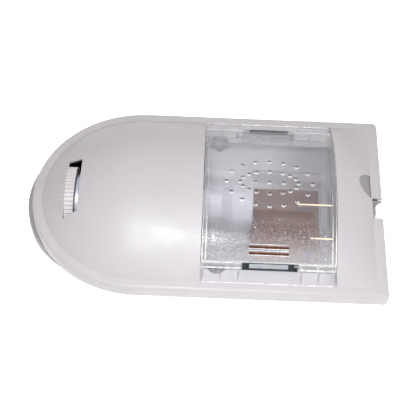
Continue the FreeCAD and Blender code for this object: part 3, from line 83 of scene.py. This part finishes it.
class Finish:
    """A material under construction: its node tree, its shader and short ways to add nodes."""

    def __init__(self, name, color, roughness, metallic=0.0):
        self.material = bpy.data.materials.new(name)
        self.material.use_nodes = True
        self.tree = self.material.node_tree
        self.shader = self.tree.nodes["Principled BSDF"]
        self.place = self.tree.nodes.new("ShaderNodeTexCoord").outputs["Object"]
        self.normal = None
        self.set("Base Color", (*color, 1.0))
        self.set("Roughness", roughness)
        self.set("Metallic", metallic)

    def set(self, socket, value):
        """Fixed value on one of the shader's sockets."""
        self.shader.inputs[socket].default_value = value

    def link(self, output, target):
        """Connection between two sockets."""
        self.tree.links.new(output, target)

    def stretched(self, scale):
        """Object coordinates scaled along each axis."""
        mapping = self.tree.nodes.new("ShaderNodeMapping")
        mapping.inputs["Scale"].default_value = scale
        self.link(self.place, mapping.inputs["Vector"])
        return mapping.outputs["Vector"]

    def noise(self, size, detail=3.0, roughness=0.55, where=None):
        """Noise whose features are about size metres across."""
        node = self.tree.nodes.new("ShaderNodeTexNoise")
        node.inputs["Scale"].default_value = 1.0 / size
        node.inputs["Detail"].default_value = detail
        node.inputs["Roughness"].default_value = roughness
        self.link(where or self.place, node.inputs["Vector"])
        return node.outputs["Fac"]

    def cells(self, size, feature="F1", randomness=1.0, where=None):
        """Distance in a cell pattern whose cells are about size metres across."""
        node = self.tree.nodes.new("ShaderNodeTexVoronoi")
        node.feature = feature
        node.inputs["Scale"].default_value = 1.0 / size
        node.inputs["Randomness"].default_value = randomness
        self.link(where or self.place, node.inputs["Vector"])
        return node.outputs["Distance"]

    def waves(self, size, direction, distortion=0.0):
        """Parallel bands, size metres apart."""
        node = self.tree.nodes.new("ShaderNodeTexWave")
        node.bands_direction = direction
        node.inputs["Scale"].default_value = 0.314 / size
        node.inputs["Distortion"].default_value = distortion
        self.link(self.place, node.inputs["Vector"])
        return node.outputs["Fac"]

    def between(self, value, low, high, out_low=0.0, out_high=1.0):
        """The value remapped from one range to another and held inside it."""
        node = self.tree.nodes.new("ShaderNodeMapRange")
        node.inputs["From Min"].default_value = low
        node.inputs["From Max"].default_value = high
        node.inputs["To Min"].default_value = out_low
        node.inputs["To Max"].default_value = out_high
        self.link(value, node.inputs["Value"])
        return node.outputs["Result"]

    def math(self, operation, a, b):
        """Two values combined; either may be a plain number."""
        node = self.tree.nodes.new("ShaderNodeMath")
        node.operation = operation
        for index, item in enumerate((a, b)):
            if isinstance(item, (int, float)):
                node.inputs[index].default_value = item
            else:
                self.link(item, node.inputs[index])
        return node.outputs[0]

    def axis(self, name):
        """One of the object coordinates X, Y or Z."""
        node = self.tree.nodes.new("ShaderNodeSeparateXYZ")
        self.link(self.place, node.inputs[0])
        return node.outputs[name]

    def tint(self, factor, other):
        """Blends the base colour towards another colour where factor is high."""
        node = self.tree.nodes.new("ShaderNodeMix")
        node.data_type = "RGBA"
        socket = self.shader.inputs["Base Color"]
        if socket.is_linked:
            self.link(socket.links[0].from_socket, node.inputs["A"])
        else:
            node.inputs["A"].default_value = socket.default_value[:]
        node.inputs["B"].default_value = (*other, 1.0)
        self.link(factor, node.inputs["Factor"])
        self.link(node.outputs["Result"], socket)

    def roughen(self, factor, low, high):
        """Roughness that varies with factor between two values."""
        self.link(self.between(factor, 0.3, 0.7, low, high), self.shader.inputs["Roughness"])

    def bump(self, height, depth):
        """Surface relief, depth metres high, on top of any earlier relief."""
        node = self.tree.nodes.new("ShaderNodeBump")
        node.inputs["Distance"].default_value = depth
        self.link(height, node.inputs["Height"])
        if self.normal:
            self.link(self.normal, node.inputs["Normal"])
        self.normal = node.outputs["Normal"]
        self.link(self.normal, self.shader.inputs["Normal"])

    def edges(self, width):
        """Mask that is high along sharp edges."""
        bevel = self.tree.nodes.new("ShaderNodeBevel")
        bevel.inputs["Radius"].default_value = width
        geometry = self.tree.nodes.new("ShaderNodeNewGeometry")
        dot = self.tree.nodes.new("ShaderNodeVectorMath")
        dot.operation = "DOT_PRODUCT"
        self.link(bevel.outputs["Normal"], dot.inputs[0])
        self.link(geometry.outputs["True Normal"], dot.inputs[1])
        return self.between(dot.outputs["Value"], 0.98, 0.80)


def moulded(name, color, roughness, mottle=0.05, grain=0.5 * MM, relief=0.02 * MM, wear=None):
    """Moulded plastic: slight mottling, fine spark texture, lighter rubbed edges."""
    finish = Finish(name, color, roughness)
    finish.set("Specular IOR Level", 0.38)
    darker = tuple(channel * (1 - mottle) for channel in color)
    finish.tint(finish.between(finish.noise(60 * MM, 4), 0.35, 0.7), darker)
    finish.tint(finish.between(finish.noise(1.4 * MM, 2), 0.45, 0.8, 0.0, 0.35), darker)
    finish.tint(finish.between(finish.noise(9 * MM, 5, 0.7), 0.62, 0.8, 0.0, 0.4), darker)
    finish.roughen(finish.noise(22 * MM, 4), roughness - 0.06, roughness + 0.08)
    finish.bump(finish.noise(grain, 2), relief)
    rubbed = wear or tuple(min(1, channel * 1.12) for channel in color)
    finish.tint(finish.math("MULTIPLY", finish.edges(0.5 * MM), 0.5), rubbed)
    return finish


def metal(name, color, roughness, brush=None, relief=0.01 * MM, stain=0.12):
    """Metal with brushing or a rolled grain, light stains and polished edges."""
    finish = Finish(name, color, roughness, metallic=1.0)
    where = finish.stretched(brush) if brush else None
    grain = finish.noise(0.6 * MM, 3, 0.6, where)
    stained = tuple(channel * (1 - stain) for channel in color)
    polished = tuple(min(1, channel * 1.2) for channel in color)
    finish.tint(finish.between(finish.noise(14 * MM, 5, 0.6), 0.4, 0.75), stained)
    finish.tint(finish.math("MULTIPLY", finish.edges(0.3 * MM), 0.6), polished)
    finish.roughen(grain, roughness - 0.08, roughness + 0.12)
    finish.bump(grain, relief)
    return finish


def spangled_zinc(name):
    """Bluish zinc-plated sheet with soft cloudy crystals."""
    finish = metal(name, (0.58, 0.64, 0.74), 0.36, stain=0.2)
    finish.set("Metallic", 0.35)
    finish.tint(finish.between(finish.cells(6 * MM), 0.1, 0.9, 0.0, 0.5), (0.68, 0.74, 0.84))
    return finish


def cast_metal(name):
    """Die-cast alloy with a fine sandy skin."""
    finish = metal(name, (0.58, 0.59, 0.61), 0.5, relief=0.03 * MM)
    finish.bump(finish.noise(0.9 * MM, 4, 0.7), 0.05 * MM)
    return finish


def copper_winding(name):
    """Enamelled copper wire laid in even turns."""
    finish = Finish(name, (0.55, 0.22, 0.09), 0.28, metallic=0.9)
    turns = finish.waves(0.9 * MM, "X", 0.4)
    finish.tint(finish.between(turns, 0.0, 0.35, 0.7, 0.0), (0.14, 0.05, 0.03))
    finish.tint(finish.between(finish.noise(5 * MM, 3), 0.45, 0.7), (0.66, 0.32, 0.14))
    finish.roughen(turns, 0.22, 0.42)
    finish.bump(turns, 0.25 * MM)
    return finish


def pressboard(name):
    """Brown pressboard with short fibres, a faint calendered sheen and cloudy tone."""
    finish = Finish(name, (0.145, 0.033, 0.003), 0.62)
    fibres = finish.noise(1.2 * MM, 5, 0.7, finish.stretched((0.25, 1.0, 1.0)))
    finish.tint(finish.between(fibres, 0.4, 0.75), (0.090, 0.026, 0.005))
    finish.tint(finish.between(finish.noise(26 * MM, 4), 0.35, 0.7), (0.165, 0.055, 0.014))
    finish.roughen(fibres, 0.52, 0.74)
    finish.bump(fibres, 0.05 * MM)
    return finish


def circuit_board(name):
    """Green solder mask over copper traces."""
    finish = Finish(name, (0.03, 0.17, 0.07), 0.35)
    traces = finish.cells(5 * MM, "DISTANCE_TO_EDGE", 0.25)
    finish.tint(finish.between(traces, 0.05, 0.09, 0.7, 0.0), (0.08, 0.33, 0.15))
    finish.tint(finish.between(finish.noise(8 * MM, 3), 0.4, 0.7), (0.025, 0.13, 0.055))
    finish.roughen(traces, 0.28, 0.45)
    finish.bump(finish.between(traces, 0.05, 0.09, 1.0, 0.0), 0.03 * MM)
    return finish


def catch_plastic(name):
    """Dark catch blocks; the far one is near-black at its top edge, as painted shade of the gap there, and
    painted pale below it, as painted light, so that only that dark line shows.
    """
    finish = moulded(name, (0.018, 0.035, 0.042), 0.35)
    far = finish.between(finish.axis("Y"), 0.0, 10 * MM)
    below = finish.between(finish.axis("Z"), FLANGE_TOP + 8.8 * MM, FLANGE_TOP + 7.8 * MM)
    # Painted shade on the far block's top edge, and painted light making it pale below that edge.
    finish.tint(far, (0.004, 0.004, 0.004))
    finish.tint(finish.math("MULTIPLY", far, below), (0.50, 0.50, 0.52))
    return finish


def cover_plastic(name, white):
    """Off-white cover, with painted shade: grey in the two half-round screw pockets."""
    finish = moulded(name, white, 0.39, 0.035)
    along = finish.math("SUBTRACT", finish.axis("X"), COVER_SCREW[0])
    across = finish.math("SUBTRACT", finish.math("ABSOLUTE", finish.axis("Y"), 0.0), COVER_SCREW[1])
    squares = finish.math("ADD", finish.math("POWER", along, 2.0), finish.math("POWER", across, 2.0))
    pocket = finish.between(finish.math("POWER", squares, 0.5), 10.5 * MM, 9.5 * MM)
    sunk = finish.between(finish.axis("Z"), FLANGE_TOP - 0.6 * MM, FLANGE_TOP - 1.2 * MM, 0.0, 0.75)
    # Painted shade: grey where the screw pockets sink below the flange.
    finish.tint(finish.math("MULTIPLY", pocket, sunk), (0.16, 0.16, 0.165))
    return finish


def reflector_plastic(name):
    """Pale tray, with painted shadow on the near side below the lamp and painted shade towards the square
    end.
    """
    finish = moulded(name, (0.74, 0.745, 0.765), 0.42, 0.05)
    # Painted shadow under the lamp, broken up by cloudy noise.
    near = finish.between(finish.axis("Y"), -26 * MM, -34 * MM)
    cloudy = finish.between(finish.noise(24 * MM, 3), 0.3, 0.7, 0.8, 1.0)
    finish.tint(finish.math("MULTIPLY", near, cloudy), (0.12, 0.125, 0.135))
    # Painted shade towards the square end.
    right = finish.between(finish.axis("X"), 70 * MM, 112 * MM, 0.0, 0.6)
    finish.tint(right, (0.30, 0.30, 0.31))
    return finish


def clear_plastic(name):
    """Clear moulded lens: hazy, clearer at the ledges, pebbled low down, with painted glints on the
    pebbles, a painted highlight along the near upright, and a faint glow and extra haze low on the near
    side as painted light.
    """
    finish = Finish(name, (0.90, 0.91, 0.96), 0.12)
    finish.set("Transmission Weight", 0.86)
    finish.set("IOR", 1.45)
    barrel = finish.between(finish.axis("Z"), FLANGE_TOP + 1 * MM, FLANGE_TOP + 9 * MM)
    side = finish.between(finish.math("ABSOLUTE", finish.axis("Y"), 0.0), 36 * MM, 66 * MM)
    side = finish.math("MULTIPLY", side, barrel)
    grains = finish.cells(2.3 * MM)
    finish.bump(finish.math("MULTIPLY", finish.between(grains, 0.1, 0.6, 1.0, 0.0), side), 0.6 * MM)
    finish.roughen(finish.noise(30 * MM, 4), 0.08, 0.18)
    # Painted glints: the pebbled cells turned into white, more opaque specks.
    glints = finish.math("MULTIPLY", finish.between(grains, 0.10, 0.28, 1.0, 0.0), side)
    haze = finish.between(finish.noise(50 * MM, 2), 0.3, 0.7, 0.27, 0.35)
    # Painted highlight: a white, more opaque band along the near upright.
    upright = finish.between(finish.axis("Y"), -89 * MM, -90.5 * MM)
    upright = finish.math("MULTIPLY", upright, barrel)
    body = finish.math("ADD", finish.math("MULTIPLY", barrel, haze), 0.07)
    body = finish.math("ADD", body, finish.math("MULTIPLY", upright, 0.62))
    # Painted light: a faint glow and extra white haze low on the near side.
    low = finish.math("MULTIPLY", finish.between(finish.axis("Y"), -62 * MM, -84 * MM), barrel)
    side_haze = finish.math("ADD", finish.math("MULTIPLY", side, 0.06), finish.math("MULTIPLY", low, 0.24))
    finish.set("Emission Color", (1.0, 1.0, 1.0, 1.0))
    finish.link(finish.math("MULTIPLY", low, 0.14), finish.shader.inputs["Emission Strength"])
    veil = finish.math("ADD", side_haze, finish.math("MULTIPLY", glints, 0.46))
    finish.link(finish.math("ADD", body, veil), finish.shader.inputs["Alpha"])
    finish.tint(finish.math("MULTIPLY", glints, 0.9), (1.0, 1.0, 1.0))
    finish.tint(upright, (1.0, 1.0, 1.0))
    return finish


def polished_edge(name, color, thin, full, glow=0.0):
    """Cut or moulded edge of clear plastic; its faint glow is painted light, standing in for the light
    that it gathers.
    """
    finish = Finish(name, color, 0.18)
    finish.set("Emission Color", (*color, 1.0))
    finish.set("Emission Strength", glow)
    finish.set("Transmission Weight", 0.25)
    finish.set("IOR", 1.49)
    patches = finish.noise(7 * MM, 4, 0.7)
    finish.link(finish.between(patches, 0.35, 0.65, thin, full), finish.shader.inputs["Alpha"])
    finish.roughen(patches, 0.1, 0.3)
    finish.tint(finish.between(patches, 0.55, 0.7, 0.0, 0.4), (0.98, 0.95, 0.88))
    return finish


def rim_edge(name):
    """End rims of the lens: faint over the top; low on the near side warm, partly the plastic's own amber
    and partly painted light, and brighter and glowing there as painted light.
    """
    finish = polished_edge(name, (0.93, 0.92, 0.91), 0.3, 0.9, 0.12)
    low = finish.between(finish.axis("Y"), -38 * MM, -66 * MM)
    alpha = finish.shader.inputs["Alpha"]
    # Painted light: opacity, glow and warmth rise low on the near side.
    shown = finish.math("MULTIPLY", alpha.links[0].from_socket, finish.between(low, 0.0, 1.0, 0.5, 1.0))
    finish.link(shown, alpha)
    finish.link(finish.between(low, 0.0, 1.0, 0.02, 0.4), finish.shader.inputs["Emission Strength"])
    finish.tint(finish.math("MULTIPLY", low, 0.6), (1.0, 0.90, 0.72))
    return finish


def build_finishes():
    """One finish for each material slot of the record."""
    brushed_x = (0.05, 1.0, 1.0)
    white = (0.57, 0.55, 0.565)
    finishes = {
        "cover_plastic": cover_plastic("cover_plastic", white),
        "pan_plastic": moulded("pan_plastic", (0.34, 0.335, 0.335), 0.5, 0.06),
        "clear_plastic": clear_plastic("clear_plastic"),
        "catch_plastic": catch_plastic("catch_plastic"),
        "spring_steel": metal("spring_steel", (0.72, 0.78, 0.80), 0.22, brushed_x),
        "zinc_steel": spangled_zinc("zinc_steel"),
        "screw_steel": metal("screw_steel", (0.50, 0.50, 0.51), 0.34),
        "wheel_plastic": moulded("wheel_plastic", (0.68, 0.655, 0.665), 0.45, 0.04),
        "shaft_steel": metal("shaft_steel", (0.55, 0.55, 0.56), 0.25, brushed_x),
        "gear_nylon": moulded("gear_nylon", (0.82, 0.76, 0.62), 0.45),
        "bronze": metal("bronze", (0.52, 0.33, 0.15), 0.42),
        "cast_alloy": cast_metal("cast_alloy"),
        "can_steel": metal("can_steel", (0.42, 0.43, 0.44), 0.36, brushed_x),
        "ferrite": moulded("ferrite", (0.03, 0.03, 0.032), 0.6),
        "copper": copper_winding("copper"),
        "carbon": moulded("carbon", (0.02, 0.02, 0.022), 0.7),
        "black_plastic": moulded("black_plastic", (0.018, 0.018, 0.02), 0.45),
        "holder_plastic": moulded("holder_plastic", (0.70, 0.70, 0.74), 0.3, 0.03, 0.8 * MM, 0.01 * MM),
        "brass": metal("brass", (0.70, 0.48, 0.18), 0.28),
        "reflector_plastic": reflector_plastic("reflector_plastic"),
        "pressboard": pressboard("pressboard"),
        "board_green": circuit_board("board_green"),
        "capacitor_blue": moulded("capacitor_blue", (0.012, 0.03, 0.12), 0.25),
        "terminal_green": moulded("terminal_green", (0.03, 0.22, 0.07), 0.45),
        "knob_blue": moulded("knob_blue", (0.05, 0.11, 0.26), 0.4),
        "button_red": moulded("button_red", (0.40, 0.03, 0.02), 0.4),
        "rubber": moulded("rubber", (0.022, 0.022, 0.022), 0.75, 0.1, 0.4 * MM, 0.04 * MM),
        "core_steel": metal("core_steel", (0.22, 0.22, 0.23), 0.5),
    }
    # Pale, partly opaque bead finish with a faint glow: painted highlight and painted light on the moulded
    # edges.
    finishes["clear_edge_highlight"] = polished_edge("clear_edge_highlight", (0.95, 0.95, 0.97), 0.30, 1.0, 0.28)
    finishes["rim_edge"] = rim_edge("rim_edge")
    # Warm glowing edge finish: painted light over the plastic's own amber tint.
    finishes["warm_edge_glow"] = polished_edge("warm_edge_glow", (1.0, 0.88, 0.66), 0.85, 1.0, 0.45)
    finishes["pebble"] = polished_edge("pebble", (0.93, 0.94, 0.97), 0.25, 0.62)
    # Dark finish for the painted shadow of the gap along the far catch.
    finishes["gap_shadow_dark"] = moulded("gap_shadow_dark", (0.02, 0.018, 0.016), 0.5)
    finishes["pit_shadow"] = moulded("pit_shadow", (0.13, 0.13, 0.14), 0.5)
    return {slot: finish.material for slot, finish in finishes.items()}


FINISHES = build_finishes()
SLOT_OF = {part["node"]: part["material_slot"] for part in frame["record"]["subparts"]}


def dress(piece, slot):
    """Gives a piece the finish of one material slot, and nothing else."""
    piece.data.materials.clear()
    piece.data.materials.append(FINISHES[slot])


def dress_cad_nodes():
    """Finish of every CAD node."""
    for name, node in NODES.items():
        dress(node, SLOT_OF[name])


ROUNDING = {
    "top_cover": 0.5, "back_pan": 0.5, "lamp_reflector": 0.5, "latch_blocks": 0.35,
    "hand_wheel": 0.25, "lampholder_shell": 0.4, "lampholder_cap": 0.4,
}


def round_edges(name, width):
    """Small moulded radius on every sharp edge of a CAD node; the mesh itself stays as it is."""
    node = NODES[name]
    weld = node.modifiers.new("weld", "WELD")
    weld.merge_threshold = 0.002 * MM
    bevel = node.modifiers.new("bevel", "BEVEL")
    bevel.width = width
    bevel.segments = 2
    bevel.limit_method = "ANGLE"
    bevel.angle_limit = math.radians(28)
    normals = node.modifiers.new("normals", "WEIGHTED_NORMAL")
    normals.weight = 90


# ---------------------------------------------------------------- moulded detail of the lens, with painted highlights and shade

def crown_height(y):
    """Height of the barrel's surface over a place across it."""
    return CROWN_TOP - CROWN_R + math.sqrt(CROWN_R ** 2 - y * y)


def proud_height(y, radius):
    """Centre height of a bead that stands a little proud of the barrel, but not above its crest."""
    return min(crown_height(y) + 0.35 * MM, CROWN_TOP) - radius


def bead(bm, path, radius, sides=6):
    """Thin round bead along an open path of points, added to a mesh under construction."""
    rings = []
    last = len(path) - 1
    angles = [2 * math.pi * side / sides for side in range(sides)]
    spokes = [Vector((math.cos(angle), math.sin(angle), 0)) for angle in angles]
    for index, point in enumerate(path):
        along = path[min(index + 1, last)] - path[max(index - 1, 0)]
        turn = along.to_track_quat("Z", "Y").to_matrix()
        rings.append([bm.verts.new(point + turn @ spoke * radius) for spoke in spokes])
    for ring, following in zip(rings, rings[1:]):
        for side in range(sides):
            other = (side + 1) % sides
            bm.faces.new((ring[side], ring[other], following[other], following[side]))
    bm.faces.new(rings[0][::-1])
    bm.faces.new(rings[-1])


def beads(name, paths, radius, look):
    """One piece of the lens made of beads along several paths."""
    bm = bmesh.new()
    for path in paths:
        bead(bm, path, radius)
    bmesh.ops.recalc_face_normals(bm, faces=bm.faces)
    mesh = bpy.data.meshes.new(name)
    bm.to_mesh(mesh)
    bm.free()
    for face in mesh.polygons:
        face.use_smooth = True
    piece = add_object(name, mesh)
    dress(piece, look)
    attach(piece, "lens")


def barrel_path(x, radius, half, steps=40):
    """Path of a bead over the barrel from one side to the other."""
    ys = [half * (2 * step / steps - 1) for step in range(steps + 1)]
    return [Vector((x, y, proud_height(y, radius))) for y in ys]


def straight(x0, x1, y, z):
    """Path along the lens at one place across and one height."""
    return [Vector((x0, y, z)), Vector((x1, y, z))]


def end_rims():
    """Two bead pairs over the barrel, one pair at each end of the lens."""
    left, right = LENS_BOX[0][0], LENS_BOX[1][0]
    step = 4.4 * MM
    places = (left + RIM_INSET, left + step, right - step, right - RIM_INSET)
    paths = [barrel_path(x, EDGE_R, LENS_SIDE - RIM_INSET) for x in places]
    beads("lens_rims", paths, EDGE_R, "rim_edge")


def slot_rims():
    """Thin rims along both sides of the two long vent slots, white as painted highlight."""
    half = 2.1 * MM
    ys = [slot_y + side * half for slot_y in SLOT_YS for side in (-1, 1)]
    paths = [straight(*SLOT_XS, y, proud_height(y, EDGE_R)) for y in ys]
    beads("slot_rims", paths, 0.38 * MM, "clear_edge_highlight")


def far_gap_shadow_strip(latch_left, latch_right):
    """Painted shadow of the gap: a dark strip along the top of the far side, where the catch grips."""
    y, z = LENS_SIDE - EDGE_R, SIDE_TOP + 0.2 * MM
    path = straight(latch_left + 6 * MM, latch_right - 9 * MM, y, z)
    beads("far_gap_shadow_strip", [path], 1.0 * MM, "gap_shadow_dark")


def side_lines(latch_left, latch_right):
    """Edges of the ledges, and tops and feet of the upright sides beside the latches, as white beads whose
    brightness is painted highlight.
    """
    (left, _, _), (right, far, _) = LENS_BOX
    start, end = left + RIM_INSET, right - RIM_INSET
    gap = 1 * MM
    lines, feet = [], []
    for sign in (-1, 1):
        lines.append(straight(start, end, sign * (far - EDGE_R), LEDGE_TOP))
        side_y = sign * (LENS_SIDE - EDGE_R)
        for x0, x1 in ((start, latch_left - gap), (latch_right + gap, end)):
            lines.append(straight(x0, x1, side_y, SIDE_TOP - EDGE_R))
            feet.append(straight(x0, x1, side_y, LEDGE_TOP + MM))
    beads("lens_lines", lines, EDGE_R, "clear_edge_highlight")
    beads("lens_feet", feet, 1.3 * MM, "clear_edge_highlight")


def lens_edges():
    """Moulded edges of the lens, with painted highlight and glow: end rims, slot rims and lines along the
    sides; and a strip of painted shadow by the far catch.
    """
    (latch_left, _, _), (latch_right, _, _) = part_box("latch_blocks")
    end_rims()
    slot_rims()
    far_gap_shadow_strip(latch_left, latch_right)
    side_lines(latch_left, latch_right)


def snap_hooks():
    """Short legs under the far edge of the lens, dark in the pit_shadow finish as painted shade."""
    left = LENS_BOX[0][0]
    y, top, length = 87.5 * MM, FLANGE_TOP + 10 * MM, 9 * MM
    paths = []
    for along in (18.5, 36.0, 42.5, 60.0, 81.0, 98.6, 117.0):
        x = left + along * MM
        paths.append([Vector((x, y, top)), Vector((x, y, top - length))])
    beads("snap_hooks", paths, 1.2 * MM, "pit_shadow")


def oval_places(half_x, half_y, angles):
    """Places on an oval: the angles in degrees, repeated in every quarter."""
    places = set()
    for angle in angles:
        dx = round(half_x * math.cos(math.radians(angle)), 6)
        dy = round(half_y * math.sin(math.radians(angle)), 6)
        places |= {(side * dx, end * dy) for side in (-1, 1) for end in (-1, 1)}
    return sorted(places)


def vent_rims():
    """Painted highlight round the near half of every vent hole and painted shade round the far half."""
    centre_x = (LENS_BOX[0][0] + LENS_BOX[1][0]) / 2 - 0.7 * MM
    centre_y, middle_pitch = -3.2 * MM, 15.1 * MM
    places = [(-middle_pitch, 0.0), (0.0, 0.0), (middle_pitch, 0.0)]
    places += oval_places(46.0 * MM, 29.4 * MM, (0, 28, 51, 71, 90))
    places += oval_places(31.0 * MM, 14.5 * MM, (0, 24, 45, 63, 90))
    rim_r, radius, steps = 1.75 * MM, 0.7 * MM, 10
    halves = {"near": [], "far": []}
    for dx, dy in places:
        x, y = centre_x + dx, centre_y + dy
        for half, start in (("near", math.pi), ("far", 0.0)):
            path = []
            for step in range(steps + 1):
                angle = start + math.pi * step / steps
                ring_y = y + rim_r * math.sin(angle)
                path.append(Vector((x + rim_r * math.cos(angle), ring_y, proud_height(ring_y, radius))))
            halves[half].append(path)
    beads("vent_rims_painted_highlight", halves["near"], radius, "clear_edge_highlight")
    beads("vent_rims_painted_shade", halves["far"], radius, "pit_shadow")


def fin_edges():
    """Lower edges of the two fins under the barrel; their warm brightness and glow are painted light over
    the plastic's own amber tint.
    """
    right = LENS_BOX[1][0] - 4.5 * MM
    drop = 1.0 * MM
    paths = []
    for y, length in ((-28.8 * MM, 37 * MM), (-65.2 * MM, 23.5 * MM)):
        z = crown_height(y) - drop
        paths.append([Vector((right - length, y, z)), Vector((right, y, z))])
    beads("fin_edges", paths, 0.75 * MM, "warm_edge_glow")


def over_slot(x, y):
    """Whether a place lies on one of the two long vent slots."""
    clear = 2.4 * MM
    along = SLOT_XS[0] < x < SLOT_XS[1]
    return along and any(abs(y - slot_y) < clear for slot_y in SLOT_YS)


def pebbles():
    """Low moulded domes that cover the lower near part of the barrel and thin out up the slope."""
    rng = random.Random(11)
    pitch, sides, lean, rooted = 1.8 * MM, 6, 0.12, 0.1 * MM
    left, right = LENS_BOX[0][0] + 6 * MM, LENS_BOX[1][0] - 6 * MM
    start, full, end = -46 * MM, -82 * MM, -90 * MM
    bm = bmesh.new()
    for row in range(int((start - end) / pitch)):
        for column in range(int((right - left) / pitch)):
            x = left + (column + rng.uniform(-0.4, 0.4) + 0.5 * (row % 2)) * pitch
            y = start - (row + rng.uniform(-0.35, 0.35)) * pitch
            thinned = rng.random() > (start - y) / (start - full)
            if thinned or y < end or x > right or over_slot(x, y):
                continue
            lean_x = rng.uniform(-lean, lean)
            lean_y = y / CROWN_R + rng.uniform(-lean, lean)
            turn = Vector((lean_x, lean_y, 1)).normalized().to_track_quat("Z", "Y").to_matrix()
            centre = Vector((x, y, crown_height(y)))
            radius, height = rng.uniform(0.35, 0.75) * MM, rng.uniform(0.2, 0.35) * MM
            top = bm.verts.new(centre + turn @ Vector((0, 0, height)))
            rim = []
            for side in range(sides):
                angle = 2 * math.pi * side / sides
                spot = Vector((math.cos(angle) * radius, math.sin(angle) * radius, -rooted))
                rim.append(bm.verts.new(centre + turn @ spot))
            for side in range(sides):
                bm.faces.new((rim[side], rim[(side + 1) % sides], top))
    mesh = bpy.data.meshes.new("pebbles")
    bm.to_mesh(mesh)
    bm.free()
    for face in mesh.polygons:
        face.use_smooth = True
    piece = add_object("pebbles", mesh)
    dress(piece, "pebble")
    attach(piece, "lens")


# ---------------------------------------------------------------- stage, camera and light

def add_object(name, data):
    """New object in the scene."""
    piece = bpy.data.objects.new(name, data)
    bpy.context.scene.collection.objects.link(piece)
    return piece


def add_floor():
    """Plain pale floor that the unit lies on."""
    half = 4.0
    mesh = bpy.data.meshes.new("floor")
    corners = [(-half, -half, 0), (half, -half, 0), (half, half, 0), (-half, half, 0)]
    mesh.from_pydata(corners, [], [(0, 1, 2, 3)])
    floor = add_object("floor", mesh)
    floor.location.z = CAD_BOX[0][2] - 0.0002
    finish = Finish("floor", (0.90, 0.90, 0.90), 0.9)
    finish.set("Emission Color", (1.0, 1.0, 1.0, 1.0))
    finish.set("Emission Strength", 0.72)
    finish.tint(finish.between(finish.noise(0.6, 3), 0.3, 0.7), (0.88, 0.88, 0.88))
    floor.data.materials.append(finish.material)


def add_camera():
    """Camera above the near side, square to the long sides within two degrees."""
    data = bpy.data.cameras.new("camera")
    data.lens = 98.8
    data.sensor_width = 36.0
    data.clip_end = 20.0
    camera = add_object("camera", data)
    turn = Matrix.Rotation(math.radians(-0.316), 4, "Y")
    turn = turn @ Matrix.Rotation(math.radians(36.97), 4, "X")
    turn = turn @ Matrix.Rotation(math.radians(2.094), 4, "Z")
    camera.matrix_world = Matrix.Translation((-0.00015, -0.7671, 1.0561)) @ turn
    bpy.context.scene.camera = camera


def add_softbox(name, place, target, size, power, spread, color):
    """Square area light that points at a target, with its beam held to a spread in degrees."""
    data = bpy.data.lights.new(name, "AREA")
    data.size = size
    data.energy = power
    data.spread = math.radians(spread)
    data.color = color
    lamp = add_object(name, data)
    lamp.location = place
    lamp.rotation_euler = (Vector(target) - Vector(place)).to_track_quat("-Z", "Y").to_euler()


def add_light():
    """Soft studio light: warm pale surroundings, a softbox overhead and a fill from the right."""
    world = bpy.data.worlds.new("surroundings")
    world.use_nodes = True
    world.node_tree.nodes["Background"].inputs["Color"].default_value = (1.0, 0.955, 0.91, 1.0)
    world.node_tree.nodes["Background"].inputs["Strength"].default_value = 0.36
    bpy.context.scene.world = world
    cool = (0.955, 0.965, 1.0)
    add_softbox("overhead", (-0.09, -0.27, 1.37), (0.04, -0.24, 0.0), 0.22, 2.15, 66, cool)
    add_softbox("right_fill", (1.0, -0.7, 1.0), (0.05, -0.05, 0.03), 0.5, 2.2, 120, cool)
    bpy.context.scene.view_settings.view_transform = "Standard"


add_camera()
add_floor()
add_light()
dress_cad_nodes()
for node_name, edge_mm in ROUNDING.items():
    round_edges(node_name, edge_mm * MM)
lens_edges()
vent_rims()
fin_edges()
snap_hooks()
pebbles()
